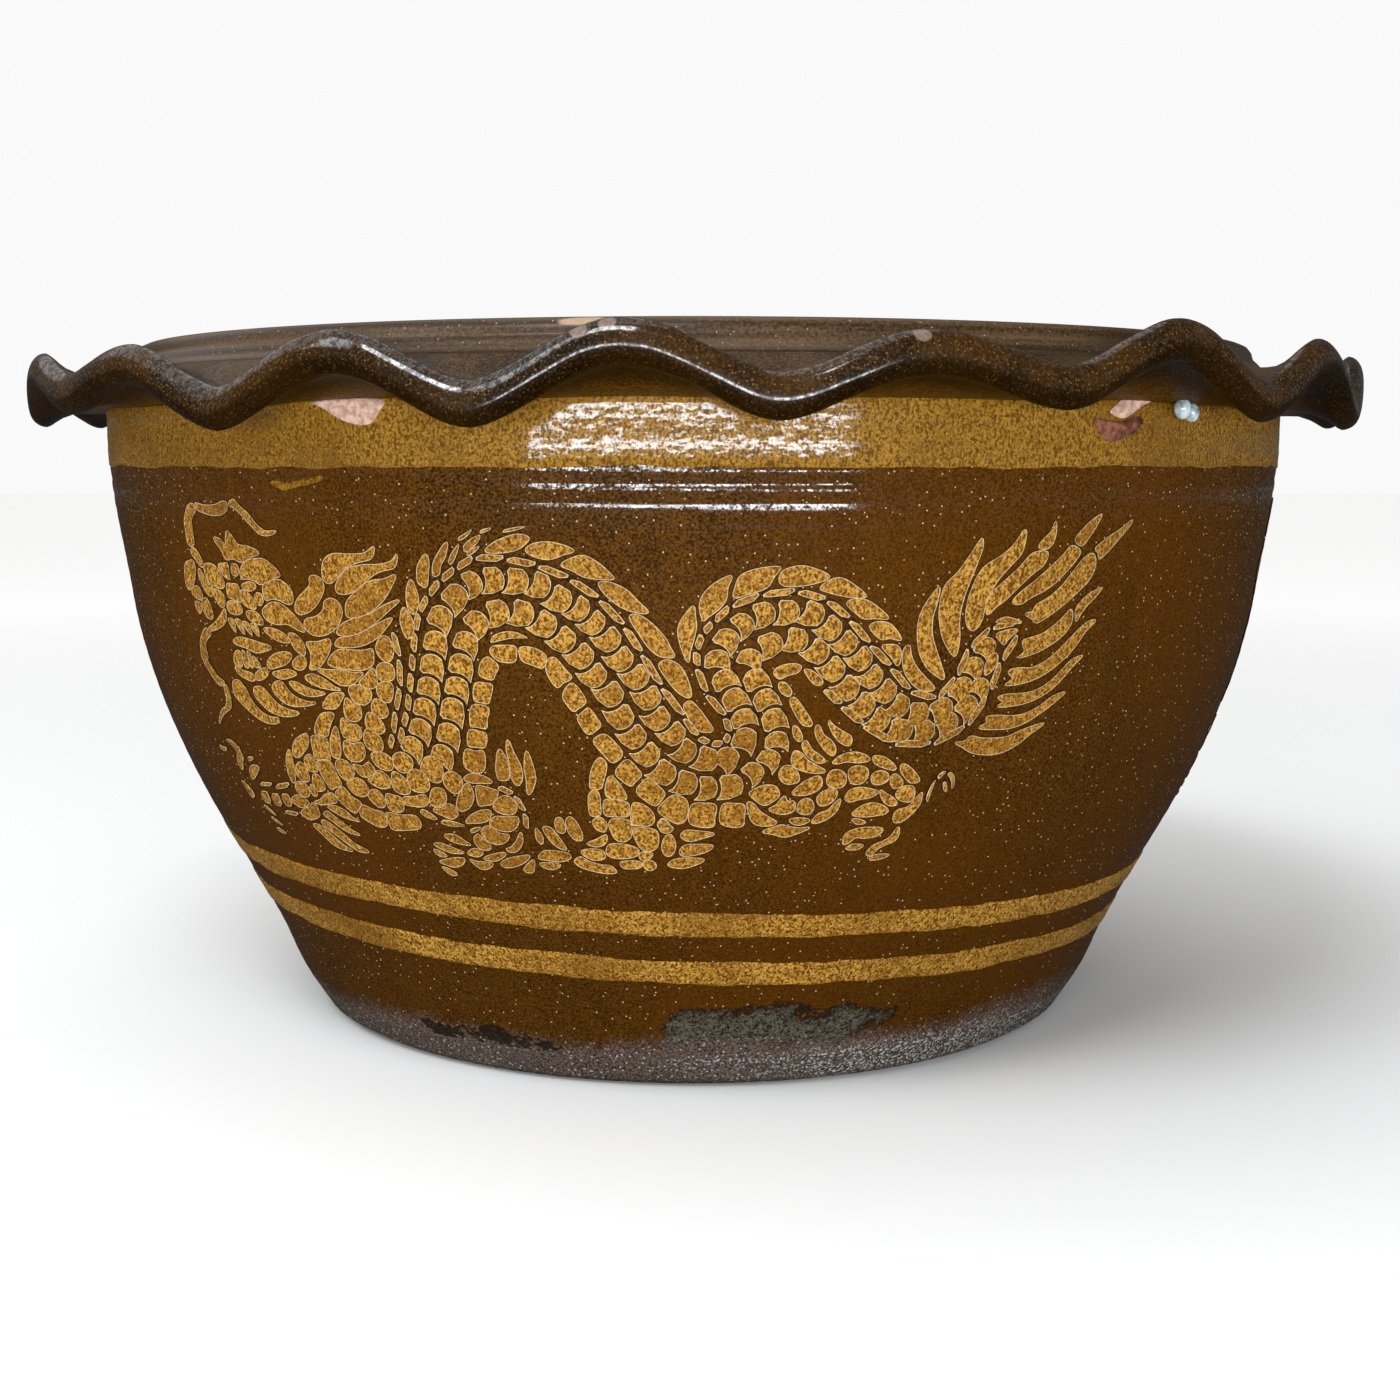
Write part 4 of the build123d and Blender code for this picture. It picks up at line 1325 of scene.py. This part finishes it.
# leg between the arches
lay_outlines(
    (-34.8, 133, -33.6, 138.4, -31, 142.2, -29, 141, -28.6, 138.6, -29.8, 134, -31, 130.8, -34.4, 130.4),
    (-35.8, 122, -35.6, 127.6, -33.6, 129.6, -32, 128.6, -31.6, 124, -32, 120.2, -35, 119.8),
    (-29, 131, -27.6, 135, -25.6, 134.4, -22.6, 130, -21.6, 126.8, -25, 126.6, -28.6, 127.6),
    (-30.2, 123.4, -29, 126.2, -22.6, 125.4, -20.8, 124.4, -21, 120.2, -25.6, 119.8, -29.6, 120.2),
    (-19.6, 122, -18.6, 125, -15, 124.2, -12, 121.6, -11.2, 118.4, -13, 116.4, -17, 116.4, -19.6, 117),
    (-28.4, 116, -27, 118.4, -22.6, 118.4, -20.2, 117, -20.2, 112, -23, 109.8, -26.4, 110.8),
    (-19, 112.6, -18, 115, -12, 114.8, -9.8, 113, -10, 108, -13, 106, -16.6, 107.4),
    (-34.6, 117.6, -32, 119, -29.6, 116.6, -30.6, 113.6, -33.6, 114.6),
    (-37.6, 108.4, -34, 110, -30, 112, -30.6, 108.8, -34, 107.4),
    (-40.4, 105, -36.6, 106, -32, 105.6, -31.2, 103, -34, 101.8, -38, 102.6),
    (-30.2, 105.6, -28.6, 108.2, -23.6, 108.4, -18, 106.8, -18.4, 104, -24, 102.8, -29, 103.4),
    (-17, 104.6, -15, 105.4, -12, 104.8, -13.6, 102.6, -16.4, 102.4),
    (-9.4, 117.6, -7.4, 117, -4, 115.4, -5.6, 113.6, -8.4, 114.2),
    (-8, 108, -6.8, 111.6, -4.6, 112.4, -3, 109, -3.6, 105.4, -5.6, 104, -7.4, 105.2),
    (-0.6, 112, 1, 114.2, 6, 114, 12, 113, 7.6, 111.4, 2.6, 110.2),
    (-1, 106, 1, 108.2, 6, 108.6, 11.6, 108.2, 9.6, 106, 4, 104.4, 0, 104.2),
    (-5.6, 100.2, -3, 102.4, 3, 103, 8.6, 102.4, 4, 100, -1, 99),
    (-24.6, 101, -20, 101.6, -16.6, 101, -17, 99.2, -21, 98.6, -24, 99),
    (-15.4, 101.4, -12, 101.6, -10.6, 99.6, -13, 98, -15, 99),
    (-43.6, 101, -41, 102.6, -38, 101, -33, 99.6, -29, 99.2, -27, 96.8, -32, 96.4, -38, 97.6, -42, 99),
    (-45.4, 117, -44, 118.8, -42, 117.6, -40, 113.6, -39.8, 110, -42.6, 110, -44.8, 113),
    (-49.8, 115, -49.2, 118, -47.2, 118, -46.2, 114.6, -46.8, 112.6, -48.8, 112.8),
    (-55, 114, -52, 114.2, -49.8, 111.4, -47.4, 107.6, -46.8, 105.6, -50, 106.6, -53, 109.6),
    (-58, 113.6, -56, 110.6, -56.2, 107.8, -58.2, 109.4),
    (-58.4, 99.2, -54, 99.6, -50, 99, -53, 97.2, -56.6, 97.6),
    (-58.6, 101.6, -56, 104.4, -51, 104.6, -46, 103.8, -45.6, 102, -50, 100.6, -55, 101),
)

# scales of the second arch and of the tail
lay_scales(
    4.65, (16, 143), (21.7, 150.4), (20.4, 157.5), (16.7, 165), (13, 171.7), (10.4, 178.8), (13.7, 186),
    (18.7, 191), (25.8, 194.6), (34, 195), (42.5, 194), (48.7, 188.7), (54.6, 183.3), (60.4, 177.5),
    (65, 171), (71, 165.4), (77, 160), (85.4, 157), (94.6, 159), (101, 166.7), (104, 174), (108, 181),
)
lay_scales(
    4.6, (25.6, 137), (31, 142), (33, 149), (31, 157.5), (27.5, 164.6), (23.7, 172), (21.7, 179), (29, 184),
    (37.5, 185), (45, 180.4), (51, 173.8), (57, 166.7), (63.7, 160.4), (70.4, 155), (80, 150.8),
    (89, 150.4), (98, 153.3), (104.6, 159.6), (108.3, 166),
)
lay_outlines(
    (30, 174, 32, 176, 36, 176.8, 39, 176, 38, 174, 34.6, 173, 32, 171.8),
    (32, 169.8, 34, 170, 36.4, 167, 35.6, 165.4, 33, 167),
    (40.6, 174.6, 43.6, 173.8, 46.8, 171, 46.6, 169.4, 44, 170),
    (36.4, 163.6, 38, 164.4, 41.6, 160, 44.6, 155.6, 44.4, 154.2, 41.6, 155, 38.6, 159),
    (38.4, 154, 40, 153.4, 41.8, 150, 41, 148.6, 39, 150.6),
    (51, 155.6, 53.4, 153.6, 57, 151.4, 60, 149.4, 60, 146.6, 57, 147.4, 53.6, 150.6),
    (46.6, 153.4, 47.6, 154, 49.6, 150.6, 52.6, 148.4, 54.6, 145.6, 54.4, 143, 52, 144, 49, 147.4,
     47, 150.6),
    (42.4, 147.6, 43.6, 148.4, 46, 145, 49, 143, 51.4, 140.6, 48.6, 140.4, 45, 142.8, 43, 145.4),
    (39, 141.6, 39.6, 144.6, 42, 144, 45, 141, 48.4, 139, 52, 136.8, 48, 136.4, 43, 137.6, 40, 139.4),
)

# hind leg and its foot
lay_outlines(
    (54.6, 140, 57, 142.4, 61.6, 143.6, 66, 142.6, 68.4, 140.6, 64.6, 139.8, 60, 140.4, 57, 139.8),
    (70, 141.8, 74, 141.2, 78, 138.6, 79.4, 136.4, 76, 137, 72, 138.6, 70.4, 140),
    (81.6, 138, 84, 137.6, 88, 134.4, 90.4, 131.4, 87, 131, 84.4, 133, 82, 135.6),
    (53.4, 133, 54, 136.4, 57, 137, 60, 135, 60.4, 131.8, 58.6, 130.4, 55, 130.8),
    (61.2, 136.4, 63.6, 138.2, 67.6, 137.4, 68.8, 134.6, 67, 131.8, 63, 132),
    (70.6, 134.4, 73, 136, 76.4, 135, 77.2, 132.4, 74.6, 131, 71.6, 131.4),
    (78.4, 133.4, 80, 134.4, 83, 132, 83.4, 129.8, 80.6, 129.2, 79, 130.8),
    (82, 127, 84, 129.2, 88, 129.2, 89.6, 126.4, 89, 123.6, 86, 123.6, 83, 125),
    (50.6, 126.6, 53, 129, 57, 129.4, 57.8, 127, 55.6, 124.2, 52, 123.6),
    (40.8, 129, 43, 131.4, 46, 133.6, 50, 134.8, 51.4, 132, 50, 129.6, 46, 128, 42, 128),
    (35, 137, 37, 139.2, 40, 138.4, 42, 135.6, 42.2, 133.2, 38.6, 132.4, 35.8, 134),
    (24.8, 128.4, 26, 130.2, 30, 131.8, 34, 131.2, 35.6, 128, 33.6, 125.8, 30, 124.4),
    (32.6, 122.6, 35, 124, 37.6, 127.4, 39, 125.4, 41.6, 125.2, 42, 122, 39, 120.6, 35, 121.2),
    (43.6, 121.6, 44, 125, 47, 126.2, 49.2, 124, 49, 121, 46.6, 120.2),
    (24, 124.8, 26, 124.8, 29, 121.6, 33, 119, 35.6, 117.4, 34, 116.2, 29, 116.4, 26, 118.6),
    (49.8, 117, 52, 120, 55.4, 121.4, 58, 124.4, 59.6, 125.4, 59, 121.6, 56.4, 118.6, 52.6, 116.8),
    (41, 118, 44, 118.6, 48.6, 117.8, 46, 116.2, 43, 116.4),
    (31, 113.6, 35, 115.2, 38, 116, 41, 115.2, 45, 114.6, 49, 114.6, 45, 112.8, 40, 111.4, 35, 112.6),
    (61.6, 126, 63, 129, 67, 129.8, 71, 129, 74.2, 127.8, 71.6, 126, 67, 125.4, 63.6, 124.6),
    (75, 128.4, 78, 126.6, 81, 125, 83, 122.6, 80, 122.4, 77, 124.6),
    (65.6, 119.4, 68, 122, 72, 123.4, 77, 122.4, 80, 119.8, 76, 118.6, 70, 118.4),
    (83, 117.6, 84, 120, 88, 121, 91, 124.4, 92.8, 126.4, 93, 122.6, 90.6, 118.4, 87, 115.6, 84, 115.4),
    (66, 117.4, 69, 117, 71.4, 115.8, 68, 115.6), (77, 100.4, 79, 102, 85, 101.8, 81, 100.4),
    (64, 110, 65, 112, 69, 113.4, 74, 113.6, 79.4, 112.8, 78, 110.4, 73, 109.6, 69, 110, 66, 107.8,
     64.2, 107.6),
    (66, 105.4, 68, 107, 72.6, 106.4, 70, 105),
    (75, 103, 77, 106, 81, 107.6, 84, 109.6, 86, 113, 87, 110.6, 86, 107.8, 82, 106.2, 79, 104.4, 77, 102),
)
lay_leaves(
    (96, 122, 95.6, 128, 97.6, 131.6, 1.6), (98, 131, 99.4, 134.6, 101.4, 134, 1.8),
    (101.4, 131, 102.2, 127, 104, 126, 1.8), (101.8, 133.8, 105.8, 132.4, 105.6, 126.4, 2),
)

# tail and its flames
lay_outlines(
    (110.6, 190, 114, 191.4, 118, 190.6, 121, 189.4, 115, 189.6),
    (111.4, 185.4, 115, 186.6, 118.6, 187, 119.6, 186.2, 116.4, 183.6, 115, 181.8, 113, 183.4),
    (108.6, 173.4, 109.6, 177.2, 112, 178.4, 113.2, 176, 112, 172.8, 109.4, 170.8),
    (75.6, 181, 77.4, 182.4, 78.6, 178.6, 81, 174.6, 85, 170.6, 89.2, 166.6, 86, 165.8, 81.6, 167.8,
     78, 171.6, 76, 176),
    (80, 189, 81, 195, 83.6, 199.6, 86.4, 203, 86.2, 198.4, 85, 192, 85.6, 186, 88, 180, 92.4, 170.6,
     89.6, 171.2, 85, 174.8, 81.4, 180.8),
    (88.4, 203, 93, 208.4, 97, 214.4, 100.4, 220, 101, 216.4, 99, 209, 96.4, 200, 95.4, 192, 96.4, 184,
     95.6, 178.4, 92.6, 181, 89.6, 186, 87.6, 194),
    (98, 196, 99.4, 203, 102.6, 209.6, 109, 213.6, 114, 218, 117, 222.8, 118, 220.6, 117, 214.6, 113, 210,
     108.6, 204.6, 105.4, 198, 104.4, 191, 101.6, 187.4, 98.6, 190),
    (106.6, 193, 105.8, 197, 107.8, 201, 112, 204.6, 117, 209, 121, 213.6, 124.4, 215, 128.4, 214.4,
     127.6, 210.6, 123, 207, 118, 202.6, 113.6, 198.4, 109.6, 195.6),
    (124.2, 216.8, 126, 219.4, 128.6, 222, 130, 225.6, 130.6, 221, 129.6, 217.4, 127, 216),
    (116.4, 197, 119.6, 200.6, 125, 204.4, 131, 209.4, 135.6, 213.4, 138.4, 216.6, 142, 215.6, 143, 213.4,
     139.4, 209, 135, 204.6, 129.6, 201, 123.6, 198.4, 120, 196.4),
    (140.2, 219.4, 142, 221.6, 145, 224.6, 150.6, 228, 148.6, 223.6, 146, 219.6, 143.8, 217, 141.4, 217.6),
    (122.6, 192.4, 125.6, 193.2, 127, 195.6, 132, 198, 137, 202, 141, 206.6, 144.6, 211, 148.4, 213.6,
     151, 212, 151.4, 207.6, 149, 203.4, 144, 199, 138, 194.6, 132, 191, 128, 189.2, 126.4, 190.4),
    (150.4, 215.6, 153, 217.6, 157, 220, 162, 222.6, 167, 225.6, 163.4, 221, 159.4, 217, 155.6, 213.4,
     153.2, 211.8, 152, 214),
    (123, 182.4, 126, 183.4, 131, 184.6, 136, 187.4, 140, 190.6, 143, 193.2, 144.2, 190.6, 143.4, 186.8,
     139.6, 183, 134, 179.8, 128.6, 177.8, 122.4, 176.6, 124.6, 178.8),
    (145.6, 193, 147, 195.6, 151, 198.6, 157, 200.8, 154, 197.6, 150.6, 194.6, 148, 191.4, 146.4, 189,
     145.8, 190.8),
    (119, 171.4, 123, 172.4, 129, 172.2, 135, 174.4, 140, 178, 145, 182.6, 149, 186, 153, 188.4, 156, 188.4,
     151.6, 184.6, 148.6, 180.4, 144.6, 176, 139, 171.8, 133, 168.6, 126, 166.8, 118.8, 166.4,
     121.4, 168.6),
    (116.6, 161.8, 120, 162.6, 126, 162.6, 132, 163.2, 138, 165.8, 143, 170, 147.6, 174.2, 152.4, 175.4,
     148, 171.4, 144, 166.8, 139, 162.8, 133, 160, 126, 158.6, 117.4, 158.4, 119.4, 160),
    (113.4, 154.6, 118, 154.8, 125, 154.2, 131, 154.8, 137, 157.4, 142, 160.6, 147.6, 161.8, 143.6, 158.6,
     138, 154.8, 132, 151.6, 125, 149.8, 118, 149.8, 111, 150.6, 114, 152.4),
    (102.4, 145.4, 106, 145.6, 108.4, 147.4, 113, 146.4, 119, 146, 125, 146.2, 131, 148.4, 140.8, 150.4,
     135, 146.4, 130, 142.8, 124, 140.4, 117, 140, 110, 141.4, 105.4, 143.8),
)
bmesh.ops.recalc_face_normals(dragon, faces=dragon.faces)
for face in dragon.faces:
    if face.normal.z < 0:
        face.normal_flip()
laid_slip = slip_material(
    "laid_slip", dark=(0.090, 0.031, 0.001, 1), pale=(0.420, 0.220, 0.038, 1),
    rust=(0.115, 0.036, 0.001, 1), blotches=0.45,
)
dragon_data = bpy.data.meshes.new("dragon")
dragon.to_mesh(dragon_data)
dragon.free()
for name, turn in dragon_turns:
    laid = bmesh.new()
    laid.from_mesh(dragon_data)
    for dot in laid.verts:
        lean = drawing_lean_at_ground + drawing_lean * dot.co.y + camera_aside / millimetre
        azimuth = (dot.co.x + lean) / unrolled_radius + math.radians(turn)
        dot.co = wall_place(azimuth, dot.co.y + ground_below_drawing, dot.co.z)
    add_piece(name, laid, laid_slip, "mustard_slip")
bpy.data.meshes.remove(dragon_data)
